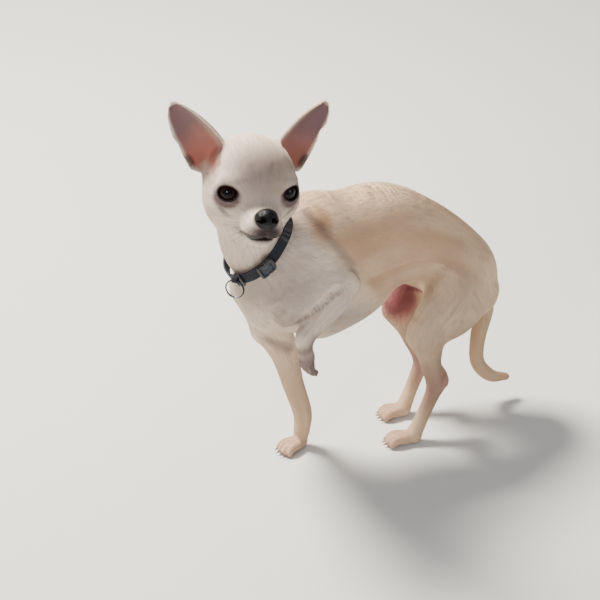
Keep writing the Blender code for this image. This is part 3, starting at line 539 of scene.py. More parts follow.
def surface_net(value, axes):
    """The zero surface of a grid: in each cell that it crosses, the mean of its edge crossings."""
    inside = value < 0
    nx, ny, nz = value.shape
    count = sum(inside[i:nx - 1 + i, j:ny - 1 + j, k:nz - 1 + k].astype(np.int8)
                for i in (0, 1) for j in (0, 1) for k in (0, 1))
    cell = np.nonzero((count > 0) & (count < 8))
    index = np.full(count.shape, -1, np.int64)
    index[cell] = np.arange(len(cell[0]))
    total, hits = np.zeros((len(cell[0]), 3)), np.zeros(len(cell[0]))
    place = lambda at: np.stack([a[i] for a, i in zip(axes, at)], 1)
    quads = []
    for axis in range(3):
        first, second = [a for a in range(3) if a != axis]
        for o in (0, 1):
            for w in (0, 1):
                start = [c.copy() for c in cell]
                start[first] += o
                start[second] += w
                stop = [c.copy() for c in start]
                stop[axis] += 1
                start, stop = tuple(start), tuple(stop)
                a, b = value[start], value[stop]
                hit = (a < 0) != (b < 0)
                t = np.where(hit, a / np.where(hit, a - b, 1), 0)[:, None]
                pa, pb = place(start), place(stop)
                total += np.where(hit[:, None], pa + t * (pb - pa), 0)
                hits += hit
        low, high = [slice(None)] * 3, [slice(None)] * 3
        low[axis], high[axis] = slice(0, -1), slice(1, None)
        crossing = inside[tuple(low)] != inside[tuple(high)]
        edge = [e.copy() for e in np.nonzero(crossing)]
        turn = inside[tuple(low)][tuple(edge)]
        corners = []
        for da, db in ((0, 0), (1, 0), (1, 1), (0, 1)):
            at = [e.copy() for e in edge]
            at[first] -= da
            at[second] -= db
            corners.append(index[tuple(at)])
        quad = np.stack(corners, 1)
        turn = ~turn if axis == 1 else turn
        quads.append(np.where(turn[:, None], quad, quad[:, ::-1]))
    return total / hits[:, None], np.vstack(quads)


def sample(axes, shape, reach):
    """Values of shape on a grid, worked out in full only within reach of the surface."""
    rough = []
    for a in axes:
        full = np.append(a, np.full(-len(a) % 4, a[-1]))
        rough.append(full.reshape(-1, 4).mean(1))
    grid = np.stack(np.meshgrid(*rough, indexing="ij"), -1).reshape(-1, 3)
    value = shape(grid).reshape([len(a) for a in rough])
    for axis in range(3):
        value = np.repeat(value, 4, axis=axis)
    value = value[tuple(slice(0, len(a)) for a in axes)].copy()
    at = np.nonzero(np.abs(value) < reach)
    value[at] = shape(np.stack([a[i] for a, i in zip(axes, at)], 1))
    for axis in range(3):
        face = np.moveaxis(value, axis, 0)
        face[0], face[-1] = 1.0, 1.0
    return value


def slope(p, shape, step=0.25):
    """How fast shape grows along X, Y and Z, from differences over twice the step."""
    ways = step * np.eye(3)
    return np.stack([shape(p + way) - shape(p - way) for way in ways], 1) / (2 * step)


def drawn_on(p, shape, most):
    """The points moved along the slope to where shape is 0, by no more than most."""
    steep = slope(p, shape)
    move = -(shape(p) / np.maximum((steep**2).sum(1), 0.3))[:, None] * steep
    far = np.linalg.norm(move, axis=1, keepdims=True)
    return p + move * np.minimum(1, most / np.maximum(far, 1e-6)), unit(steep)


def outward(points, faces):
    """The faces turned over if the volume within them, the sum of a . (b x c) / 6, is negative."""
    a, b, c = (points[faces[:, k]] - points.mean(0) for k in (0, 1, 2))
    volume = (a * np.cross(b, c)).sum()
    if faces.shape[1] == 4:
        volume += (a * np.cross(c, points[faces[:, 3]] - points.mean(0))).sum()
    return faces if volume > 0 else faces[:, ::-1]


def added(name, data):
    """A new object in the scene that carries the data."""
    obj = bpy.data.objects.new(name, data)
    bpy.context.scene.collection.objects.link(obj)
    return obj


def piece(name, points, faces, material, stands_for=(), marks=None, uv=None,
          uv_name="weave", smooth=True):
    """A piece on the part's root: points in millimetres, faces as rows of point numbers."""
    mesh = bpy.data.meshes.new(name)
    faces = np.ascontiguousarray(outward(points, np.asarray(faces, np.int32)))
    points = (np.asarray(points, np.float64) + SHIFT) / 1000
    count, sides = faces.shape
    mesh.vertices.add(len(points))
    mesh.vertices.foreach_set("co", points.astype(np.float32).ravel())
    mesh.loops.add(count * sides)
    mesh.loops.foreach_set("vertex_index", faces.ravel())
    mesh.polygons.add(count)
    mesh.polygons.foreach_set("loop_start", np.arange(count, dtype=np.int32) * sides)
    mesh.update(calc_edges=True)
    mesh.polygons.foreach_set("use_smooth", np.full(count, smooth))
    for key, value in (marks or {}).items():
        stored = mesh.attributes.new(key, "FLOAT", "POINT")
        stored.data.foreach_set("value", value.astype(np.float32))
    if uv is not None:
        layer = mesh.uv_layers.new(name=uv_name)
        layer.data.foreach_set("uv", uv[faces.ravel()].astype(np.float32).ravel())
    mesh.materials.append(material)
    mesh.validate()
    obj = added(name, mesh)
    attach(obj, "root")
    if stands_for:
        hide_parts(*stands_for)
    return obj


def grid_faces(rows, columns, closed_rows=False, closed_columns=False):
    """Quads between the neighbours of a grid of points that are counted row by row."""
    r = np.arange(rows if closed_rows else rows - 1)[:, None]
    c = np.arange(columns if closed_columns else columns - 1)[None, :]
    r2, c2 = (r + 1) % rows, (c + 1) % columns
    corners = [r * columns + c, r2 * columns + c, r2 * columns + c2, r * columns + c2]
    return np.stack([k.ravel() for k in corners], 1)


def halves(faces):
    """Each four-sided face as two triangles."""
    return np.vstack([faces[:, [0, 1, 2]], faces[:, [0, 2, 3]]])


class Value:
    """A number that changes over the surface; + - * and powers of it become Math nodes."""

    def __init__(self, finish, socket):
        self.finish, self.socket = finish, socket

    def _math(self, operation, *values, clamp=False):
        """One Math node on the values."""
        settings = {"operation": operation, "use_clamp": clamp}
        node = self.finish.node("ShaderNodeMath", settings, dict(enumerate(values)))
        return Value(self.finish, node.outputs[0])

    def __add__(self, other):
        return self._math("ADD", self, other)

    def __sub__(self, other):
        return self._math("SUBTRACT", self, other)

    def __rsub__(self, other):
        return self._math("SUBTRACT", other, self)

    def __mul__(self, other):
        return self._math("MULTIPLY", self, other)

    def __pow__(self, other):
        return self._math("POWER", self, other)

    __radd__ = __add__
    __rmul__ = __mul__

    def sine(self):
        """Its sine, from -1 to 1."""
        return self._math("SINE", self)

    def held(self):
        """Kept between 0 and 1."""
        return self._math("ADD", self, 0.0, clamp=True)

    def ramp(self, low, high):
        """0 at low, 1 at high, smooth between; low may be the larger."""
        ends = {0: self, 1: low, 2: high, 3: 0.0, 4: 1.0}
        node = self.finish.node("ShaderNodeMapRange", {"interpolation_type": "SMOOTHSTEP"}, ends)
        return Value(self.finish, node.outputs[0])


class Finish:
    """A material: its nodes are added one by one and end in one shader."""

    def __init__(self, name, **constants):
        self.material = bpy.data.materials.new(name)
        self.material.use_nodes = True
        self.nodes = self.material.node_tree.nodes
        self.links = self.material.node_tree.links
        self.shader = self.nodes["Principled BSDF"]
        for key, value in constants.items():
            self.shader.inputs[key.replace("_", " ")].default_value = value

    def node(self, kind, settings=None, inputs=None):
        """A node of that kind: settings first, then a value or a link for each socket."""
        made = self.nodes.new(kind)
        for key, value in (settings or {}).items():
            setattr(made, key, value)
        for key, value in (inputs or {}).items():
            value = value.socket if isinstance(value, Value) else value
            if isinstance(value, bpy.types.NodeSocket):
                self.links.new(value, made.inputs[key])
            else:
                made.inputs[key].default_value = value
        return made

    def place(self):
        """Object coordinates, in metres."""
        return self.node("ShaderNodeTexCoord").outputs["Object"]

    def own(self, name):
        """A number stored on the piece, point by point."""
        made = self.node("ShaderNodeAttribute", {"attribute_name": name})
        return Value(self, made.outputs["Fac"])

    def uv(self):
        """The two coordinates of the piece's own map."""
        made = self.node("ShaderNodeUVMap", {"uv_map": "weave"})
        parts = self.node("ShaderNodeSeparateXYZ", inputs={0: made.outputs[0]})
        return Value(self, parts.outputs[0]), Value(self, parts.outputs[1])

    def noise(self, scale, detail=3.0, roughness=0.5, vector=None):
        """Cloudy noise from 0 to 1; scale is in waves to the metre."""
        inputs = {"Vector": vector or self.place(), "Scale": scale, "Detail": detail,
                  "Roughness": roughness}
        return Value(self, self.node("ShaderNodeTexNoise", inputs=inputs).outputs["Fac"])

    def cells(self, scale):
        """Distance to the nearest of many scattered points."""
        inputs = {"Vector": self.place(), "Scale": scale}
        made = self.node("ShaderNodeTexVoronoi", {"feature": "F1"}, inputs)
        return Value(self, made.outputs["Distance"])

    def mix(self, share, first, second):
        """A colour that goes from first to second."""
        inputs = {0: share, 6: first, 7: second}
        return self.node("ShaderNodeMix", {"data_type": "RGBA"}, inputs).outputs[2]

    def bump(self, height, depth, strength=1.0):
        """Raise the surface by height times depth, in metres."""
        inputs = {"Height": height, "Distance": depth, "Strength": strength}
        made = self.node("ShaderNodeBump", inputs=inputs)
        self.links.new(made.outputs[0], self.shader.inputs["Normal"])

    def paint(self, **sockets):
        """Link what varies to the shader."""
        for key, value in sockets.items():
            value = value.socket if isinstance(value, Value) else value
            self.links.new(value, self.shader.inputs[key.replace("_", " ")])
        return self.material


def shade(red, green, blue):
    """A colour given on the 0 to 255 scale of a screen, as light: ((c + 0.055) / 1.055)^2.4."""
    return (*[((c / 255 + 0.055) / 1.055)**2.4 for c in (red, green, blue)], 1)


CREAM = shade(230, 202, 166)
PALE = shade(218, 201, 188)
FAWN = shade(188, 146, 110)
# darker hair of the coat's streaks, also painted shade in the skin's creases
TAWNY_AND_CREASE_SHADE = shade(126, 96, 80)
ROSY = shade(158, 94, 94)
# pink skin in shade: painted shade in the groin under the belly
ROSY_IN_SHADE = shade(126, 70, 74)
# smoky grey-brown of the coat on the face and legs, also the colour of painted shade on the chest,
# below the raised foreleg, in creases and on one side of the forehead
SMOKE_AND_SHADE = shade(108, 87, 86)
SOOT = shade(12, 8, 9)
EAR_ROOT = shade(166, 102, 88)
EAR_TIP = shade(110, 82, 82)


def coat_finish(name, roughness, fine):
    """Cream coat with its markings and painted shade; the streaks come from the piece's own tone.
    """
    finish = Finish(name, Roughness=roughness, Specular_IOR_Level=0.25)
    tone = finish.own("tone")
    cloud = finish.noise(60, 4)
    colour = finish.mix((finish.own("pale") * (0.7 + cloud * 0.5)).held(), CREAM, PALE)
    fawn = (finish.own("fawn") * (0.55 + tone * 0.9)).held()
    colour = finish.mix(fawn, colour, FAWN)
    # darker streaks where the tone is low, and painted shade along the creases
    colour = finish.mix(((0.64 - tone) * 0.75 + finish.own("fold") * 0.75).held(), colour, TAWNY_AND_CREASE_SHADE)
    # smoky coat colour, and painted shade where that mask marks it
    colour = finish.mix((finish.own("smoke") * (0.75 + tone * 0.5)).held(), colour, SMOKE_AND_SHADE)
    rosy = finish.own("rosy")
    colour = finish.mix((rosy * (0.9 + cloud * 0.2)).held(), colour, ROSY)
    # where the pink is strongest it turns maroon: painted shade in the groin under the belly
    colour = finish.mix(rosy.ramp(0.58, 0.96), colour, ROSY_IN_SHADE)
    ear = finish.mix((finish.own("ear_tip") * 1.9 + cloud * 0.9 - 0.55).held(), EAR_ROOT, EAR_TIP)
    colour = finish.mix(finish.own("ear"), colour, ear)
    colour = finish.mix(finish.own("soot"), colour, SOOT)
    if fine:
        finish.bump(finish.noise(1500, 5, 0.7) * 0.5 + tone * 0.5, 0.00025, 0.6)
    return finish.paint(Base_Color=colour)


def eye_finish():
    """Dark brown iris round a black pupil; the map's first coordinate runs out from the pupil."""
    finish = Finish("eye", Roughness=0.08, Specular_IOR_Level=0.16)
    out, around = finish.uv()
    ray = finish.noise(1.0, 3, 0.6, finish.node("ShaderNodeCombineXYZ", inputs={
        0: out * 3.0, 1: around * 60.0}).outputs[0])
    iris = finish.mix(ray, shade(26, 12, 9), shade(52, 26, 16))
    colour = finish.mix(out.ramp(0.11, 0.15), shade(3, 2, 3), iris)
    colour = finish.mix(out.ramp(0.22, 0.28), colour, shade(8, 4, 4))
    colour = finish.mix(out.ramp(0.33, 0.38), colour, shade(54, 38, 36))
    return finish.paint(Base_Color=colour)


def nose_finish():
    """Near-black leather in small pebbles, with painted shade in the nostrils."""
    finish = Finish("nose leather", Specular_IOR_Level=0.18)
    pebbles = finish.cells(1500)
    colour = finish.mix(pebbles.ramp(0.1, 0.6), shade(12, 10, 13), shade(5, 4, 5))
    # painted shade inside the nostrils
    colour = finish.mix(finish.own("soot"), colour, shade(2, 1, 2))
    finish.bump(1 - pebbles, 0.0003, 0.7)
    return finish.paint(Base_Color=colour, Roughness=0.3 + finish.noise(400) * 0.16)


def claw_finish():
    """Horn, pale at the root and dusky at the tip."""
    finish = Finish("claw horn", Roughness=0.35, Coat_Weight=0.3)
    out, _ = finish.uv()
    colour = finish.mix(out, shade(168, 142, 126), shade(74, 56, 50))
    return finish.paint(Base_Color=finish.mix(finish.noise(900) * 0.4, colour, shade(70, 52, 46)))


def webbing_finish():
    """Woven tape: u runs along it in ribs, v across it in rows, both in millimetres."""
    finish = Finish("webbing", Roughness=0.7, Specular_IOR_Level=0.3)
    along, across = finish.uv()
    rib = (along * (2 * pi / 1.1)).sine()
    row = (across * (2 * pi / 0.9)).sine()
    weave = rib * row
    edge = ((across - 0.5 * BAND_WIDTH)**2)**0.5
    colour = finish.mix((weave * 0.3 + 0.4).held(), shade(5, 7, 14), shade(16, 20, 36))
    # lighter stripes along both edges of the tape: a painted highlight
    painted_edge_highlight = edge.ramp(0.36 * BAND_WIDTH, 0.43 * BAND_WIDTH)
    colour = finish.mix(painted_edge_highlight * 0.45, colour, shade(34, 40, 60))
    colour = finish.mix(finish.noise(300) * 0.2, colour, shade(36, 40, 52))
    finish.bump(weave * 0.5 + rib * 0.2, 0.0002, 0.8)
    return finish.paint(Base_Color=colour)


def moulded_finish(name, colour, light):
    """Black plastic with a fine grain and paler worn spots; its panel is blue like the webbing."""
    finish = Finish(name, Coat_Weight=0.15, Coat_Roughness=0.3)
    wear = finish.noise(260, 4).ramp(0.52, 0.72)
    finish.bump(finish.noise(4000), 0.00005, 0.5)
    black = finish.mix(wear * 0.4, colour, light)
    panel = finish.mix(finish.own("panel"), black, shade(30, 38, 56))
    return finish.paint(Base_Color=panel, Roughness=0.32 + wear * 0.25)


def steel_finish():
    """Dark wire with fine scratches, brighter where it has rubbed."""
    finish = Finish("ring steel", Metallic=1.0)
    scratch = finish.noise(2200, 6, 0.8)
    rubbed = finish.noise(180, 3).ramp(0.45, 0.65)
    colour = finish.mix(scratch, shade(70, 72, 76), shade(38, 38, 42))
    return finish.paint(Base_Color=finish.mix(rubbed * 0.5, colour, shade(170, 172, 176)),
                        Roughness=0.24 + scratch * 0.2)


def whisker_finish():
    """Stiff hair, dark near its root and pale towards its tip."""
    finish = Finish("whisker", Roughness=0.4)
    out, _ = finish.uv()
    return finish.paint(Base_Color=finish.mix(out, shade(46, 34, 30), shade(150, 130, 116)))


def stage_finish():
    """A pale floor, faintly clouded."""
    finish = Finish("pale floor", Roughness=0.85)
    colour = finish.mix(finish.noise(3, 2) * 0.25, shade(214, 213, 208), shade(203, 202, 197))
    return finish.paint(Base_Color=colour)


EARS = {s: ear_form(s) for s in (1, -1)}


def coat_depth(p):
    """How far the skin lies under the outline: 0.9 on the body, less on head and feet."""
    head = near_to(p, HEAD, 44, 64)
    foot = 1 - rise(p[:, 2], 18, 60)
    ears = rise(p[:, 2], 280, 290) * rise(np.linalg.norm(p - HEAD, axis=1), 36, 42)
    return (0.9 - 0.5 * np.maximum(head, foot)) * (1 - ears) + 0.1 * ears


def folds():
    """Creases over the muscles: a curve, its width and its depth, most of them the same on both
    sides.
    """
    rows = []
    for s in (-1, 1):
        for line, width, depth in (
                (((-92, 20, 217), (-80, 31, 200), (-68, 35, 183), (-60, 38, 172)), 5, 1.2),
                (((-146, 3, 196), (-134, 8, 178), (-126, 12, 158), (-118, 12, 140)), 6, 1.1),
                (((22, 28, 152), (8, 28, 138), (-6, 22, 128)), 6, 1.4),
                (((58, 24, 118), (40, 28, 98), (24, 27, 70)), 4, 1.0),
                (((-40, 33, 190), (-36, 33, 168), (-28, 28, 146)), 3.5, 0.5),
                (((-26, 32, 190), (-22, 32, 168), (-14, 27, 148)), 3.5, 0.5),
                (((-12, 31, 188), (-8, 31, 168), (-2, 26, 150)), 3.5, 0.45)):
            rows.append((spline([(x, y * s, z) for x, y, z in line], 24), width, depth))
    for line, width, depth in (
            (((-80, -46, 168), (-88, -45, 164), (-96, -44, 158), (-106, -42, 151), (-113, -39, 144),
              (-116, -37, 136), (-114, -33, 128)), 2.8, 3.2),
            (((-118, 10, 109), (-110, 14, 104), (-101, 13, 98), (-90, 13.5, 91)), 4, 1.6),
            (((-126, -38, 160), (-129, -30, 150), (-129, -22, 142), (-129, -14, 135)), 5, 1.6),
            (((-120, -39, 176), (-128, -34, 168), (-136, -24, 160)), 4, 1.0)):
        rows.append((spline(line, 24), width, depth))
    for s in (-1, 1):
        for line, width, depth in (
                (((28, 14, -31), (21, 25, -17), (8, 30, -8)), 3, 0.7),
                (((27, 7, 17), (31, 4.5, 8), (33, 7, 0)), 2.4, 0.5),
                (((9, 26, -12), (17, 22.5, -15), (25, 15, -13)), 2.2, 0.6)):
            rows.append((spline([in_head(a, b * s, c) for a, b, c in line], 24), width, depth))
    return rows


FOLDS = folds()


def fold_depth(p):
    """How deep the skin creases: the sum of each fold's depth times exp(-(distance / width)^2)."""
    deep = np.zeros(len(p))
    for curve, width, depth in FOLDS:
        reach = 2.5 * width
        near = np.nonzero(((p > curve.min(0) - reach) & (p < curve.max(0) + reach)).all(1))[0]
        if len(near):
            far = gaps(p[near], curve).min(1)
            deep[near] += depth * np.exp(-np.maximum(far, 0) / width**2)
    return deep


def skin_shape(p):
    """The bare skin: the dog's outline less the depth of its coat and its folds."""
    return flesh(p) + coat_depth(p) + fold_depth(p)


def stroke(p, rows, width):
    """1 along a curve through rows, 0 from width away."""
    far = gaps(p, spline(rows, 20)).min(1)
    return 1 - rise(np.sqrt(np.maximum(far, 0)), 0.2 * width, width)


def blob(p, centre, radii, soft=0.5):
    """1 inside an ellipsoid, 0 outside, over a border that is soft times its radius."""
    q = np.linalg.norm((p - vec(*centre)) / np.asarray(radii, float), axis=1)
    return 1 - rise(q, 1 - soft, 1 + soft)


class Spine:
    """A curve through a part of the body: gives length along, angle round, and distance."""

    def __init__(self, rows, reach, side=(0, 1, 0.1)):
        curve = spline(rows, 16 * (len(rows) - 1) + 1)
        step = np.gradient(curve, axis=0)
        self.tube = Tube(np.hstack([curve, np.full((len(curve), 2), float(reach))]), side=side)
        self.curve, self.way, self.reach = curve, unit(step), reach
        self.length = np.append(0, np.cumsum(np.linalg.norm(np.diff(curve, axis=0), axis=1)))
        self.bend = np.gradient(self.way, axis=0) / np.gradient(self.length)[:, None]

    def place(self, p):
        """Length along, angle round and distance of each point, by the curve's nearest row."""
        i = np.concatenate([((q[:, None, :] - self.curve[None])**2).sum(2).argmin(1)
                            for q in np.array_split(p, len(p) // AT_ONCE + 1)])
        offset = p - self.curve[i]
        stretch = np.clip(1 - (offset * self.bend[i]).sum(1), 0.4, 3)
        along = self.length[i] + (offset * self.way[i]).sum(1) / stretch
        tube, last = self.tube, len(self.tube.centre) - 1
        near = np.clip(np.round(i * last / (len(self.curve) - 1)).astype(int), 0, last)
        angle = np.arctan2((offset * tube.up[near]).sum(1), (offset * tube.side[near]).sum(1))
        return along, angle, np.linalg.norm(offset, axis=1)


SPINES = {
    "head": Spine([in_head(-36, 0, -8), in_head(-12, 0, -2), in_head(20, 0, -12),
                   in_head(54, 0, -20)], 28, side=LEFT),
    "neck": Spine([(-139, -14, 236), (-134, -10, 216), (-126, -6, 196), (-108, -2, 182)], 27),
    "trunk": Spine([(-104, 0, 166), (-60, 0, 165), (-10, 0, 168), (36, 0, 148), (74, 0, 104)], 33),
    "tail": Spine([(78, 0, 96), (83, -1, 87), (76, -4, 62), (75, -6, 40), (87, -8, 24),
                   (102, -10, 19)], 7),
    "foreleg_left": Spine([SHOULDER[-1], ELBOW[-1], (-81.7, -39, 154), WRIST[-1],
                           (-104.7, -38, 113), (-99.7, -34, 97)], 10),
    "foreleg_right": Spine([(-106, 24, 126), ELBOW[1], (-88, 19, 70), WRIST[1], (-83, 8, 6),
                            (-101, 5, 5)], 11),
    "hindleg_left": Spine([(38, -24, 128), (8, -32, 98), HOCK[-1], HIND_HEEL[-1],
                           HIND_TOE[-1]], 13),
    "hindleg_right": Spine([(40, 24, 124), (18, 24, 92), HOCK[1], HIND_HEEL[1], HIND_TOE[1]], 13)}


def part_of(p):
    """Which spine each point belongs to, by distance over reach, and its place on it."""
    names = list(SPINES)
    places = [SPINES[n].place(p) for n in names]
    share = np.stack([place[2] / SPINES[n].reach for n, place in zip(names, places)], 1)
    for s in (1, -1):
        v, w, _, _, x = EARS[s].place(p)
        leaf = (v > 2) & (v < EAR_LENGTH + 4) & (np.abs(x) < 1.25) & (np.abs(w) < 16)
        share[leaf, 0] = 0
    which = share.argmin(1)
    rows = np.arange(len(p))
    along = np.stack([place[0] for place in places], 1)[rows, which]
    angle = np.stack([place[1] for place in places], 1)[rows, which]
    return which, along, angle


def currents():
    """Places and ways of the lie of the coat: nose to rump, and down each leg and the tail."""
    lines = [[in_head(*r) for r in ((56, 0, -8), (40, 0, -9), (26, 0, 6), (8, 0, 27), (-20, 0, 29),
                                    (-38, 0, 6), (-40, 0, -22))]]
    for s in (1, -1):
        lines += [[in_head(a, b * s, c) for a, b, c in rows] for rows in (
            ((52, 8, -20), (36, 14, -19), (14, 32, -12), (-10, 34, -12), (-30, 24, -22)),
            ((50, 5, -31), (30, 10, -36), (0, 22, -34), (-18, 22, -44)),
            ((36, 9, -8), (26, 15, 7), (8, 24, 17), (-20, 24, 16)))]
        ear = EARS[s]
        lines.append([ear.base + ear.along * t - ear.across * 2 for t in (0, 18, 36, 54)])
        lines += [[(x, y * s, z) for x, y, z in rows] for rows in (
            ((-112, 24, 200), (-86, 29, 186), (-50, 33, 168), (0, 30, 152), (40, 26, 132),
             (66, 20, 104)),
            ((-84, 14, 214), (-40, 16, 212), (0, 16, 204), (44, 14, 170), (76, 12, 118)),
            ((46, 26, 148), (34, 32, 124), (8, 34, 100)),
            ((72, 16, 112), (50, 22, 90), (26, 26, 78)))]
    lines += [[(-139, 8, 236), (-126, 16, 200), (-108, 24, 172), (-96, 28, 140)],
              [(-139, -38, 236), (-128, -32, 200), (-112, -30, 172), (-100, -30, 150)],
              [(-164, -14, 228), (-158, -8, 200), (-146, -3, 170), (-136, 0, 140), (-116, 0, 116)],
              [(-112, -8, 240), (-104, -2, 226), (-84, 0, 223), (-50, 0, 223), (0, 0, 216),
               (50, 0, 178), (84, 0, 122)],
              [(-104, 0, 113), (-60, 0, 106), (-10, 0, 121), (26, 0, 130)]]
    lines += [SPINES[n].curve[::8] for n in SPINES if n.startswith(("foreleg", "hindleg", "tail"))]
    places, ways = [], []
    for rows in lines:
        curve = spline(np.asarray(rows, float), 6 * (len(rows) - 1) + 1)
        places.append(curve)
        ways.append(unit(np.gradient(curve, axis=0)))
    return np.vstack(places), np.vstack(ways)


CURRENT_PLACES, CURRENT_WAYS = currents()


def lie(p, normal):
    """The way the coat lies: the currents weighed by 1 / (distance^2 + 50)^2, laid on the skin."""
    ways = []
    for q in np.array_split(p, len(p) // AT_ONCE + 1):
        weight = 1 / (gaps(q, CURRENT_PLACES) + 50)**2
        ways.append(weight @ CURRENT_WAYS)
    way = unit(np.vstack(ways))
    return unit(way - (way * normal).sum(1)[:, None] * normal)


LATTICE = random.random((CELLS, CELLS))


def streak(x, y):
    """Smooth noise from 0 to 1 on a lattice of random numbers, one to each unit of x and y."""
    i, j = np.floor(x).astype(int), np.floor(y).astype(int)
    u, v = rise(x - i, 0, 1), rise(y - j, 0, 1)
    at = lambda a, b: LATTICE[a % CELLS, b % CELLS]
    low = at(i, j) * (1 - u) + at(i + 1, j) * u
    high = at(i, j + 1) * (1 - u) + at(i + 1, j + 1) * u
    return low * (1 - v) + high * v


def patches():
    """The coat's patches and strokes: colour, frame of the places, strength, form and its sizes."""
    rows = [
        ("fawn", "body", 0.95, blob, (-87, -22, 213), (9, 12, 15), 0.6),
        ("fawn", "body", 0.5, blob, (-87, 22, 213), (9, 12, 15), 0.6),
        ("fawn", "body", 0.5, blob, (80, -5, 40), (26, 16, 40), 0.5),
        ("fawn", "body", 0.8, blob, (100, -10, 20), (14, 10, 10), 0.5),
        ("smoke", "head", 0.7, blob, (24, 2, 14), (17, 26, 21), 0.85),
        # painted shade on the dog's left side of the forehead and brow, one side only
        ("smoke", "head", 0.62, blob, (20, 19, 12), (10, 9, 18), 0.6),
        ("smoke", "head", 0.3, blob, (34, 0, -3), (10, 7, 9), 0.6),
        ("smoke", "head", 1.0, blob, (50, 1, -26), (12, 14, 8), 0.5),
        # painted shade on the chest under the collar and in front of the left shoulder
        ("smoke", "body", 0.42, blob, (-140, -22, 178), (16, 24, 20), 0.7),
        ("smoke", "body", 0.3, blob, (-122, -36, 172), (22, 20, 26), 0.7),
        # partly the darker, thinly haired skin of the armpit, partly painted shade below the point
        # of the shoulder
        ("smoke", "body", 0.55, blob, (-120, -37, 148), (13, 10, 11), 0.6),
        # painted shade on the belly below the raised forearm
        ("smoke", "body", 0.4, blob, (-62, -25, 128), (24, 14, 12), 0.8),
        ("smoke", "body", 0.4, blob, (6, -36, 98), (18, 12, 16), 0.7),
        # painted shade over the raised paw
        ("smoke", "body", 0.95, blob, (-104, -38, 104), (15, 15, 17), 0.5),
        # painted shade in the crease behind the shoulder
        ("smoke", "body", 0.55, stroke, ((-95, -14, 221), (-87, -27, 211), (-77, -33, 196),
                                         (-67.5, -34.5, 182.5), (-61, -39, 173)), 6),
        # painted shade between the raised forearm and the belly
        ("smoke", "body", 0.8, stroke, ((-68, -32, 131), (-80, -38, 131), (-98, -44, 132),
                                        (-110, -42, 124)), 11),
        # painted shade in the crease along the raised forearm
        ("smoke", "body", 0.4, stroke, ((-106, -43, 152), (-113, -39, 144), (-116, -39, 134)), 5),
        # painted shade where the right foreleg comes out from under the chest
        ("smoke", "body", 0.5, stroke, ((-116, 10, 108), (-110, 14, 104), (-101, 13, 98),
                                        (-90, 13, 91)), 7),
        # pink bare skin of the inner thighs and groin; the maroon of its strongest part is painted
        # shade under the belly
        ("rosy", "body", 0.84, blob, (8, 14, 106), (22, 18, 20), 0.5),
        ("rosy", "body", 0.98, blob, (12, 8, 121), (24, 22, 12), 0.5),
        ("rosy", "body", 0.25, blob, (-98, 5, 6), (20, 16, 12), 0.6),
        ("soot", "head", 0.9, blob, (50, 1, -25), (11, 8.5, 7), 0.4)]
    for s in (1, -1):
        rows += [
            ("rosy", "body", 0.4, blob, HOCK[s], (13, 10, 26), 0.6),
            ("rosy", "body", 0.3, blob, HIND_TOE[s], (20, 16, 12), 0.6),
            ("smoke", "body", 0.42, blob, between(STIFLE[s], HOCK[s], 0.7), (18, 16, 36), 0.6),
            ("soot", "head", 0.6 if s < 0 else 0.35, stroke,
             ((22, 14 * s, -6.5), (26, 11 * s, -9), (29, 9.5 * s, -12)), 2.2),
            ("smoke", "head", 0.5, stroke, ((22, 25 * s, 5), (26, 18 * s, 7), (28, 12 * s, 5)), 6),
            # painted shade in the fold from the corner of the mouth up the cheek
            ("smoke", "head", 0.7, stroke,
             ((30, 13 * s, -31), (24, 19 * s, -24), (20, 26 * s, -15)), 3.2)]
    return rows


PATCHES = patches()


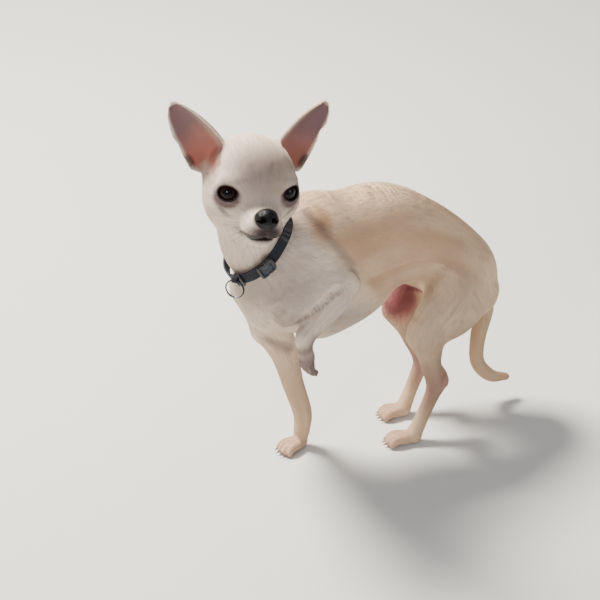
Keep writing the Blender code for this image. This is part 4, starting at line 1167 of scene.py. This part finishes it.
def markings(p):
    """The masks of the coat's colours and of its painted shade at each point, all from 0 to 1.

    Each mask is the largest of its patches, its strokes and what is added here.
    """
    which, along, angle = part_of(p)
    round_about = angle * np.array([spine.reach for spine in SPINES.values()])[which]
    tone = (0.55 * streak(along / 8 + which * 13, round_about / 1.2) +
            0.45 * streak(along / 3.5 + which * 7, round_about / 0.7))
    broad = streak(along / 26, round_about / 9 + 40)
    x, _, z = p.T
    d = from_head(p)
    ahead, _, up = d.T
    head = 1 - rise(np.linalg.norm(d / vec(1.35, 1, 1), axis=1), 46, 60)
    past = x + SHOULDER_SLOPE * z - SHOULDER_BACK
    trunk = rise(past, -4, 5) * rise(z, 118, 150) * (1 - 0.5 * rise(x, 10, 70)) * (1 - head)
    masks = {name: np.zeros(len(p)) for name in ("fawn", "smoke", "rosy", "soot")}

    def add(name, mask):
        """The larger of the mask so far and a new one."""
        masks[name] = np.maximum(masks[name], mask)

    for name, part, strength, form, *sizes in PATCHES:
        add(name, strength * form({"body": p, "head": d}[part], *sizes))
    add("fawn", trunk * (0.25 + 0.6 * broad) * (1 - 0.85 * rise(z, 198, 220)))
    add("fawn", 0.4 * (1 - rise(z, 70, 110)) * (0.4 + broad))
    for s in (1, -1):
        add("smoke", (0.15 + 0.3 * broad) * blob(p, (24, 30 * s, 104), (36, 16, 48), 0.7))
        aside, high, out = eye_view(p, s)
        front = rise(out, 1, 4)
        rim = np.sqrt((aside / 7.9)**2 + ((high - 0.3) / 6.2)**2)
        add("soot", front * (1 - rise(rim, 0.94, 1.14)))
        low_rim = np.sqrt((aside / 9.0)**2 + ((high + 2.2) / 8.0)**2)
        add("smoke", front * (1 - rise(low_rim, 0.9, 1.45)))
    line = MOUTH_HEIGHT - MOUTH_CURVE * (MOUTH_FRONT - ahead)**2
    lips = (1 - rise(np.abs(up - line - 1.2), 2.0, 4.6)) * rise(ahead, 28, 41)
    add("soot", 0.92 * lips * head)
    add("soot", blob(d, (47.8, 0, -13.8), (8.5, 9.2, 7.9), 0.12) * head)
    add("soot", 0.9 * (1 - rise(z, 0.5, 1.6)))
    ear, ear_tip = np.zeros(len(p)), np.zeros(len(p))
    for s in (1, -1):
        v, w, t, _, edge = EARS[s].place(p)
        _, sheet = EARS[s].cup(t, edge)
        within = (np.abs(w) < 18) & (v > -8) & (v < EAR_LENGTH + 2)
        inside = rise(w - sheet, -0.2, 0.5) * (1 - rise(np.abs(edge), 0.78, 0.9)) * within
        inside = inside * rise(v, -8, 2) * (1 - rise(v, EAR_LENGTH - 2.5, EAR_LENGTH - 0.8))
        ear = np.maximum(ear, inside)
        ear_tip = np.maximum(ear_tip, np.clip(v / EAR_LENGTH, 0, 1) * (inside > 0))
        hairy = rise(-edge, 0.35, 0.8) * (1 - t) * inside
        add("smoke", 0.6 * hairy)
        ear = ear * (1 - 0.55 * hairy)
        # a dark slit on the ear's outer edge near its root: painted shade of the fold there
        slit = blob(np.stack([edge, v / 10, 0 * v], 1), (0.86, 0.6, 0), (0.14, 0.55, 1), 0.4)
        add("soot", 0.7 * (slit * within) * rise(w - sheet, 0.0, 0.5))
    pale = np.maximum(0.6 * head, 0.85 * (1 - rise(past, -22, 8)) * rise(z, 30, 150))
    # the fold mask is painted shade along the skin's creases
    return {"tone": tone, **masks, "ear": ear, "ear_tip": ear_tip, "pale": pale,
            "fold": rise(fold_depth(p), 0.9, 2.7)}


def build_skin():
    """One closed skin for every node of flesh, on a grid that is finer round the head.

    The grid's net is drawn on to the true surface twice, and the soles are held at the floor.
    """
    xs = np.concatenate([np.arange(-188, -64, 1.15), np.arange(-64, 108, 2.0)])
    ys = np.arange(-78, 46, 1.05)
    zs = np.concatenate([np.arange(-3.2, 20, 1.6), np.arange(20, 215, 2.2),
                         np.arange(215, 321, 0.95)])
    value = sample((xs, ys, zs), skin_shape, 8.5)
    points, faces = surface_net(settle(value, 0.03), (xs, ys, zs))
    points, _ = drawn_on(points, skin_shape, 0.5)
    points, normal = drawn_on(points, skin_shape, 0.3)
    points[:, 2] = np.maximum(points[:, 2], 0.0)
    marks = markings(points)
    skin = coat_finish("skin", 0.6, True)
    nodes = [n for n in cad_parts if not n.startswith(("eye", "collar", "nose"))]
    piece("skin", points, faces, skin, nodes, marks)
    return points, faces, normal, marks


def coat_plan(p, marks):
    """Tufts to the square millimetre, and their length, width and lift at each point."""
    head = near_to(p, HEAD, 44, 64)
    muzzle = near_to(p, in_head(40, 0, -20), 18, 34)
    foot = 1 - rise(p[:, 2], 14, 46)
    raised = blob(p, (-102, -36, 105), (16, 14, 20), 0.4)
    ears = 0.9 * rise(p[:, 2], 282, 290)
    fine = np.maximum.reduce([0.7 * head, muzzle, foot, raised, ears])
    ruff = np.maximum(blob(p, (-128, -10, 190), (30, 34, 40), 0.4),
                      blob(p, (76, 0, 96), (20, 20, 34), 0.4))
    length = 4.8 - 3.2 * fine + 1.2 * ruff * (1 - fine)
    width = 0.50 - 0.18 * fine
    number = 2.4 + 1.8 * fine
    lift = 0.26 + 0.16 * ruff * (1 - fine) - 0.08 * fine
    angle, level = collar_level(p)
    beside = np.linalg.norm(p - COLLAR_CENTRE, axis=1) < 50
    brim = beside * np.exp(-((level - 9.5) / 3.0)**2)
    brim = brim * rise(angle, 1.45, 1.9) * (1 - rise(angle, 2.7, 3.1))
    length = length + 5.0 * brim
    lift = lift + 4.0 * brim
    under = beside * rise(level, -7.5, -6) * (1 - rise(level, 4, 5.5))
    bare = np.maximum.reduce([rise(marks["ear"], 0.1, 0.4), marks["soot"],
                              0.8 * marks["rosy"] * (1 - foot), under,
                              1 - rise(p[:, 2], 0.6, 2.0)])
    return number * (1 - bare), length, width, lift


def build_coat(points, faces, normal, marks):
    """Short closed spikes with three sides, rooted at random places on the skin.

    Each piece holds a share of one part's tufts, taken in order of their angle round it.
    """
    triangles = halves(faces)
    a, b, c = (points[triangles[:, k]] for k in range(3))
    area = np.linalg.norm(np.cross(b - a, c - a), axis=1) / 2
    number, length, width, lift = coat_plan(points, marks)
    expected = area * number[triangles].mean(1)
    count = int(min(expected.sum(), MOST_TUFTS))
    chosen = random.choice(len(triangles), count, p=expected / expected.sum())
    share = random.random((count, 2))
    fold = share.sum(1) > 1
    share[fold] = 1 - share[fold]
    weight = np.column_stack([1 - share.sum(1), share])
    corner = triangles[chosen]
    blend = lambda values: np.einsum("nk,nk...->n...", weight, values[corner])
    root, out = blend(points), unit(blend(normal))
    long, wide, high = blend(length), blend(width), blend(lift)
    vary = 0.75 + 0.5 * random.random(count)
    along = lie(root, out)
    across = np.cross(out, along)
    turn = random.normal(0, 0.12, count)
    along = along * np.cos(turn)[:, None] + across * np.sin(turn)[:, None]
    across = np.cross(out, along)
    tip = root + along * (long * vary)[:, None]
    tip = tip + out * (high * vary - skin_shape(tip))[:, None]
    thick = 0.14 * wide
    low = root - out * 0.06
    spikes = np.stack([low - across * wide[:, None] / 2, low + across * wide[:, None] / 2,
                       root + out * thick[:, None] + along * 0.3, tip], 1)
    spikes[..., 2] = np.maximum(spikes[..., 2], 0.05)
    masks = markings(root)
    masks["tone"] = np.clip(masks["tone"] + random.normal(0, 0.11, count), 0, 1)
    which, run, angle = part_of(root)
    reach = np.array([spine.length[-1] for spine in SPINES.values()])[which]
    flat = np.column_stack([0.5 + angle / (2 * pi), np.clip(run / reach, -0.2, 1.2)])
    flat[:, 1] = 0.04 + 0.92 * (flat[:, 1] + 0.2) / 1.4
    offset = 0.003 * vec(-0.5, 0, 0.5, 0, 0, 0.25, 0, 1).reshape(4, 2)
    coat = coat_finish("coat", 0.55, False)
    spike_faces = np.array([(0, 3, 2), (2, 3, 1), (0, 1, 3), (0, 2, 1)])[:, ::-1]
    for number, name in enumerate(SPINES):
        own = np.nonzero(which == number)[0]
        own = own[np.argsort(angle[own], kind="stable")]
        shares = np.array_split(own, len(own) // PIECE_TUFTS + 1)
        for k, these in enumerate(shares):
            label = "coat_" + name + ("" if len(shares) == 1 else "_" + "abcdefghij"[k])
            rows = (4 * np.arange(len(these))[:, None, None] + spike_faces[None]).reshape(-1, 3)
            corners = spikes[these].reshape(-1, 3)
            uv = (flat[these][:, None, :] + offset[None]).reshape(-1, 2)
            kept = {key: np.repeat(value[these], 4) for key, value in masks.items()}
            piece(label, corners, rows, coat, (), kept, uv, "OFBake", smooth=False)


def build_eyes():
    """Globes with a swell of 0.5 over the pupil; the map runs outwards and round."""
    eye = eye_finish()
    rings, around = 48, 64
    out = np.linspace(0, pi, rings)[:, None]
    turn = np.linspace(0, 2 * pi, around, endpoint=False)[None, :]
    radius = EYE_RADIUS + 0.5 * np.exp(-(out / 0.5)**2) - 0.1
    ball = np.stack([np.sin(out) * np.cos(turn), np.sin(out) * np.sin(turn),
                     np.cos(out) + 0 * turn], 2) * radius[..., None]
    faces = grid_faces(rings, around, closed_columns=True)
    uv = np.stack([out / pi + 0 * turn, turn / (2 * pi) + 0 * out], 2).reshape(-1, 2)
    for s, side in ((1, "left"), (-1, "right")):
        middle, aim = eye_place(s)
        across = unit(np.cross(ABOVE, aim))
        points = ball.reshape(-1, 3) @ np.stack([across, np.cross(aim, across), aim]) + middle
        points, rows, map_uv = welded(points, faces, uv)
        piece("eyeball_" + side, points, rows, eye, ("eye_" + side,), uv=map_uv)


def welded(points, faces, uv):
    """Triangles of the same grid with each pole's points as one, so that the ends are closed."""
    points = points.round(6)
    _, first, same = np.unique(points, axis=0, return_index=True, return_inverse=True)
    rows = same.reshape(-1)[halves(faces)]
    whole = (rows != np.roll(rows, 1, axis=1)).all(1)
    return points[first], rows[whole], uv[first]


def nose_shape(p):
    """Leather in front of the muzzle: the outline inside a rounded pad."""
    ahead, left, up = from_head(p).T
    behind = 44.7 - ahead - 0.27 * (up + 7.5)
    pad = np.maximum(behind, 7.5 * (np.hypot(left / 8.8, np.minimum(up + 13.8, 0) / 7.2) - 1))
    return smax(flesh(p) + 0.05, pad, 1.2)


def build_nose():
    """Leather of the nose with its nostrils, from a fine grid."""
    low, high = in_head(52, 0, -16) - 14, in_head(52, 0, -16) + 14
    axes = [np.arange(a, b, 0.42) for a, b in zip(low, high)]
    value = sample(axes, nose_shape, 2.6)
    points, faces = surface_net(settle(value, 0.01), axes)
    points, _ = drawn_on(points, nose_shape, 0.2)
    # how far inside a nostril each point lies, darkened there as painted shade
    deep = 1 - rise(nostrils(points), 0.1, 0.9)
    piece("nose_leather", points, faces, nose_finish(), ("nose",), {"soot": deep})


def strands(centre, radius, side, over):
    """Closed tubes: at each step of a path a ring of cos and sin, with a point at either end.

    centre is strand x step x 3, radius strand x step, and side and over the ring's two ways.
    """
    around = 8 if len(centre) < 30 else 4
    turn = np.linspace(0, 2 * pi, around, endpoint=False)[:, None]
    radius = radius.copy()
    radius[:, [0, -1]] = 0
    ring = side[..., None, :] * np.cos(turn) + over[..., None, :] * np.sin(turn)
    points = centre[:, :, None, :] + radius[:, :, None, None] * ring
    count, steps = radius.shape
    faces = grid_faces(steps, around, closed_columns=True)
    faces = (faces[None] + (np.arange(count) * steps * around)[:, None, None]).reshape(-1, 4)
    share = np.linspace(0, 1, steps)[None, :, None] + np.zeros((count, 1, around))
    uv = np.stack([share, share * 0], 3).reshape(-1, 2)
    return welded(points.reshape(-1, 3), faces, uv)


def build_claws():
    """Curved cones: rings whose size falls as 1 - t^1.6 along a bend towards the ground."""
    t = np.append(np.append(-0.35, np.linspace(-0.35, 0.97, 10)), 1)[None, :, None]
    root, tip, sole, size = [], [], [], []
    for heel, toe, down, scale in PAWS.values():
        for base, point in claw_places(heel, toe, down, scale):
            root.append(base)
            tip.append(point)
            sole.append(unit(down))
            size.append(scale)
    root, tip, sole, size = vec(*root), vec(*tip), vec(*sole), vec(*size)[:, None]
    way = unit(tip - root)
    side = unit(np.cross(way, sole))
    over = np.cross(side, way)
    down = np.sign((over * sole).sum(1))[:, None, None]
    reach = np.linalg.norm(tip - root, axis=1)[:, None, None]
    centre = root[:, None] + way[:, None] * t * reach + over[:, None] * down * 0.9 * t * t
    radius = 1.05 * size * (1 - np.clip(t[..., 0], 0, 1)**1.6) + 0.08
    wide = np.broadcast_to(side[:, None] * 0.8, centre.shape)
    points, faces, uv = strands(centre, radius, wide, np.broadcast_to(over[:, None], centre.shape))
    points[:, 2] = np.maximum(points[:, 2], 0.1)
    piece("claws", points, faces, claw_finish(), uv=uv)


def build_whiskers():
    """Tapered hairs that bend back along the muzzle and droop: root + way t + bend t^2."""
    rows = []
    for s in (1, -1):
        for k in range(12):
            level, back = divmod(k, 4)
            place = (46 - 3.2 * back - level, s * (9.5 + 0.8 * back), -21.5 - 2.6 * level)
            way = (0.35 - 0.12 * back, s, -0.12 * level)
            rows.append((place, way, 11 + 2.6 * back + 2 * random.random()))
        rows += [((24 - k, s * (13 + 3 * k), 9 - k), (0.7, 0.25 * s, 0.7), 6 + random.random())
                 for k in (0, 1, 2)]
    root = vec(*[in_head(*place) for place, _, _ in rows])
    root, out = drawn_on(root, skin_shape, 4)
    way = unit(vec(*[a * AHEAD + b * LEFT + c * ABOVE for _, (a, b, c), _ in rows]) + 0.4 * out)
    long = vec(*[length for _, _, length in rows])[:, None, None]
    t = np.linspace(0, 1, 9)[None, :, None]
    bend = -0.35 * AHEAD - 0.25 * ABOVE
    centre = root[:, None] - out[:, None] * 0.3 + long * (way[:, None] * t + bend * t * t)
    side = np.broadcast_to(unit(np.cross(way, ABOVE))[:, None], centre.shape)
    over = np.cross(side, way[:, None])
    radius = np.broadcast_to(0.11 * (1 - 0.8 * t[..., 0]), centre.shape[:2])
    points, faces, uv = strands(centre, radius, side, over)
    piece("whiskers", points, faces, whisker_finish(), uv=uv)


TURNS = np.arange(72) * 2 * pi / 72


def band_radii():
    """Radius of the band's inner face: past the flesh at five heights, smoothed round."""
    reach = np.linspace(14, 74, 241)
    way = np.cos(TURNS)[:, None] * COLLAR_FRONT + np.sin(TURNS)[:, None] * COLLAR_SIDE
    widest = np.zeros(len(TURNS))
    for height in np.linspace(-0.5, 0.5, 5) * BAND_WIDTH:
        start = COLLAR_CENTRE + (height + collar_rise(TURNS))[:, None] * COLLAR_UP
        points = start[:, None, :] + way[:, None, :] * reach[None, :, None]
        value = flesh(points.reshape(-1, 3)).reshape(len(TURNS), -1)
        widest = np.maximum(widest, reach[(value > 0).argmax(1)])
    widest = np.max([np.roll(widest, k) for k in (-2, -1, 0, 1, 2)], axis=0)
    for _ in range(6):
        widest = (np.roll(widest, 1) + 2 * widest + np.roll(widest, -1)) / 4
    return widest + BAND_CLEAR


RADII = band_radii()


def collar_place(angle, out, height):
    """Points out from the band's inner face and up its axis, for arrays of one shape."""
    angle, out, height = np.broadcast_arrays(angle, out, height)
    radius = np.interp(angle % (2 * pi), np.append(TURNS, 2 * pi), np.append(RADII, RADII[0]))
    way = np.cos(angle)[..., None] * COLLAR_FRONT + np.sin(angle)[..., None] * COLLAR_SIDE
    level = (height + collar_rise(angle))[..., None] * COLLAR_UP
    return COLLAR_CENTRE + way * (radius + out)[..., None] + level


def rounded(wide, tall, corner, count):
    """A rectangle with round corners: |x|^n + |y|^n = 1 with n from the corner's share."""
    turn = np.linspace(0, 2 * pi, count, endpoint=False)
    x, y = np.cos(turn), np.sin(turn)
    n = 2 / corner
    size = (np.abs(x)**n + np.abs(y)**n)**(-1 / n)
    return x * size * wide / 2, y * size * tall / 2


def build_band():
    """Webbing: a flat rounded section carried round the neck, u and v in millimetres."""
    count = 360
    angle = np.linspace(0, 2 * pi, count, endpoint=False)[:, None]
    out, height = rounded(BAND_THICK - 0.3, BAND_WIDTH, 0.25, 28)
    points = collar_place(angle, out[None] + BAND_THICK / 2, height[None])
    run = np.cumsum(np.linalg.norm(np.diff(points[:, 0], axis=0, prepend=points[:1, 0]), axis=1))
    uv = np.stack([run[:, None] + 0 * height[None], height[None] + BAND_WIDTH / 2 + 0 * angle], 2)
    faces = grid_faces(count, len(out), closed_rows=True, closed_columns=True)
    piece("collar_webbing", points.reshape(-1, 3), faces, webbing_finish(),
          ("collar_band",), uv=uv.reshape(-1, 2))


def plate(name, middle, spread, tall, thick, face, panel, stands_for, finish):
    """A moulded piece on the band, drawn in from its rim to its middle on top and below.

    Its outline is |x|^7 + |y|^7 = 1; face gives the height of the top at x and y, from 0 to 1,
    and panel how much of the webbing's colour shows there.
    """
    rings, around = 40, 96
    turn = np.linspace(0, 2 * pi, around, endpoint=False)[None, :]
    size = (np.abs(np.cos(turn))**7 + np.abs(np.sin(turn))**7)**(-1 / 7)
    share = np.linspace(0, 1, rings)[:, None]
    x, y = share * size * np.cos(turn), share * size * np.sin(turn)
    low = BAND_THICK + GAP
    rim = 1 - 0.35 * rise(share + 0 * turn, 0.9, 1.0)
    out = np.vstack([low + thick * face(x, y) * rim, np.full(x.shape, low)])
    shown = np.vstack([panel(x, y), 0 * x])
    x, y = np.vstack([x, x[::-1]]), np.vstack([y, y[::-1]])
    points = collar_place(middle + spread * x, out, tall * y)
    faces = grid_faces(2 * rings, around, closed_columns=True)
    keys = np.stack([shown, 0 * shown], 2).reshape(-1, 2)
    points, rows, keys = welded(points.reshape(-1, 3), faces, keys)
    piece(name, points, rows, finish, stands_for, {"panel": keys[:, 0]})


def build_hardware():
    """Side-release buckle with a raised frame round an inset panel, and a slide with two slots."""
    half = BAND_WIDTH / 2
    frame_edge = lambda x, y: rise(np.maximum(np.abs(x), np.abs(y)), 0.60, 0.72)
    tongue = lambda x, y: (1 - rise(np.abs(y), 0.16, 0.24)) * (1 - rise(np.abs(x), 0.50, 0.58))
    notch = lambda x, y: (1 - rise(np.abs(x), 0.10, 0.18)) * rise(np.abs(y), 0.80, 0.92)
    buckle_face = lambda x, y: np.clip(0.52 + 0.46 * frame_edge(x, y) + 0.2 * tongue(x, y)
                                       - 0.35 * notch(x, y), 0.1, 1)
    inset = lambda x, y: (1 - frame_edge(x, y)) * (1 - 0.7 * tongue(x, y))
    slots = lambda x, y: ((1 - rise(np.abs(np.abs(x) - 0.45), 0.16, 0.26))
                          * (1 - rise(np.abs(y), 0.62, 0.74)))
    slide_face = lambda x, y: 1 - 0.75 * slots(x, y)
    plastic = moulded_finish("moulded plastic", shade(10, 10, 13), shade(44, 46, 54))
    plate("collar_buckle_shell", BUCKLE_ANGLE, BUCKLE_SPREAD, half + 1.2, BUCKLE_THICK - 0.1,
          buckle_face, inset, ("collar_buckle",), plastic)
    plate("collar_slide_bar", SLIDE_ANGLE, SLIDE_SPREAD, half + 1.6, SLIDE_THICK - 0.1, slide_face,
          slots, ("collar_slide",), plastic)


def build_ring():
    """A split ring of two turns of wire, and the loop of tape that holds it to the band."""
    face = unit(RING_FACE)
    down = unit(vec(0, 0, -1) + face * face[2])
    across = np.cross(down, face)
    off = BAND_THICK + 2 * GAP + RING_WIRE + RING_STANDOFF
    hook = collar_place(RING_ANGLE, off, RING_HEIGHT)
    middle = hook + down * RING_RADIUS
    turn = np.linspace(0.2, 0.2 + 4 * pi, 160)[None, :, None]
    way = across * np.cos(turn) + down * np.sin(turn)
    wire = 0.5 * RING_WIRE
    level = wire * 1.02 * np.tanh((turn - 0.2 - 2 * pi) * 1.2)
    centre = middle + way * RING_RADIUS + face * level
    radius = np.full(centre.shape[:2], wire * 0.95)
    points, faces, uv = strands(centre, radius, way, np.broadcast_to(face, way.shape))
    piece("collar_ring_wire", points, faces, steel_finish(), ("collar_ring",), uv=uv)
    turn = np.linspace(0, 2 * pi, 48, endpoint=False)[:, None, None]
    inward = unit(collar_place(RING_ANGLE, 0.0, RING_HEIGHT) - hook)
    inward = square_to(inward, across)
    beside = np.cross(across, inward)
    path = hook + inward * 1.7 + inward * 3.4 * np.cos(turn) + beside * 2.1 * np.sin(turn)
    out, wide = rounded(0.8, 4.0, 0.3, 16)
    swell = inward * np.cos(turn) + beside * np.sin(turn)
    loop = path + swell * out[None, :, None] + across * wide[None, :, None]
    run = 3.0 * turn + 0 * wide[None, :, None]
    uv = np.concatenate([run, wide[None, :, None] + 2 + 0 * turn], 2).reshape(-1, 2)
    faces = grid_faces(48, 16, closed_rows=True, closed_columns=True)
    piece("collar_loop", loop.reshape(-1, 3), faces, webbing_finish(), uv=uv)


def build_stage():
    """A pale floor, soft lights and the camera at the photograph's angle."""
    half = 4000.0
    corners = np.array([(-half, -half, 0), (half, -half, 0), (half, half, 0), (-half, half, 0)])
    mesh = bpy.data.meshes.new("floor")
    mesh.from_pydata((corners / 1000).tolist(), [], [(0, 1, 2, 3)])
    mesh.materials.append(stage_finish())
    floor = added("floor", mesh)
    lights = (("key", (-450, 900, 1600), 600, 120, (1.0, 0.95, 0.87)),
              ("front", (-1500, -900, 900), 500, 13, (0.96, 0.97, 1.0)),
              ("fill", (700, -1500, 700), 900, 8, (0.74, 0.85, 1.0)))
    target = vec(0, 0, 150)
    for name, place, size, power, colour in lights:
        lamp = bpy.data.lights.new(name, "AREA")
        lamp.shape, lamp.size, lamp.energy, lamp.color = "DISK", size / 1000, power, colour
        obj = added(name, lamp)
        obj.location = Vector(place) / 1000
        obj.rotation_euler = Vector(vec(*place) - target).to_track_quat("Z", "Y").to_euler()
    world = bpy.data.worlds.new("studio")
    world.use_nodes = True
    sky = world.node_tree.nodes["Background"].inputs
    sky["Color"].default_value, sky["Strength"].default_value = (0.9, 0.92, 0.95, 1), 0.38
    bpy.context.scene.world = world
    lens = bpy.data.cameras.new("camera")
    lens.lens, lens.sensor_width, lens.clip_end = CAMERA_LENS, 36, 50
    camera = added("camera", lens)
    camera.location = Vector(CAMERA_PLACE) / 1000
    camera.rotation_euler = Vector(CAMERA_AIM).to_track_quat("-Z", "Y").to_euler()
    bpy.context.scene.camera = camera


build_stage()
skin_parts = build_skin()
build_coat(*skin_parts)
build_eyes()
build_nose()
build_claws()
build_whiskers()
build_band()
build_hardware()
build_ring()
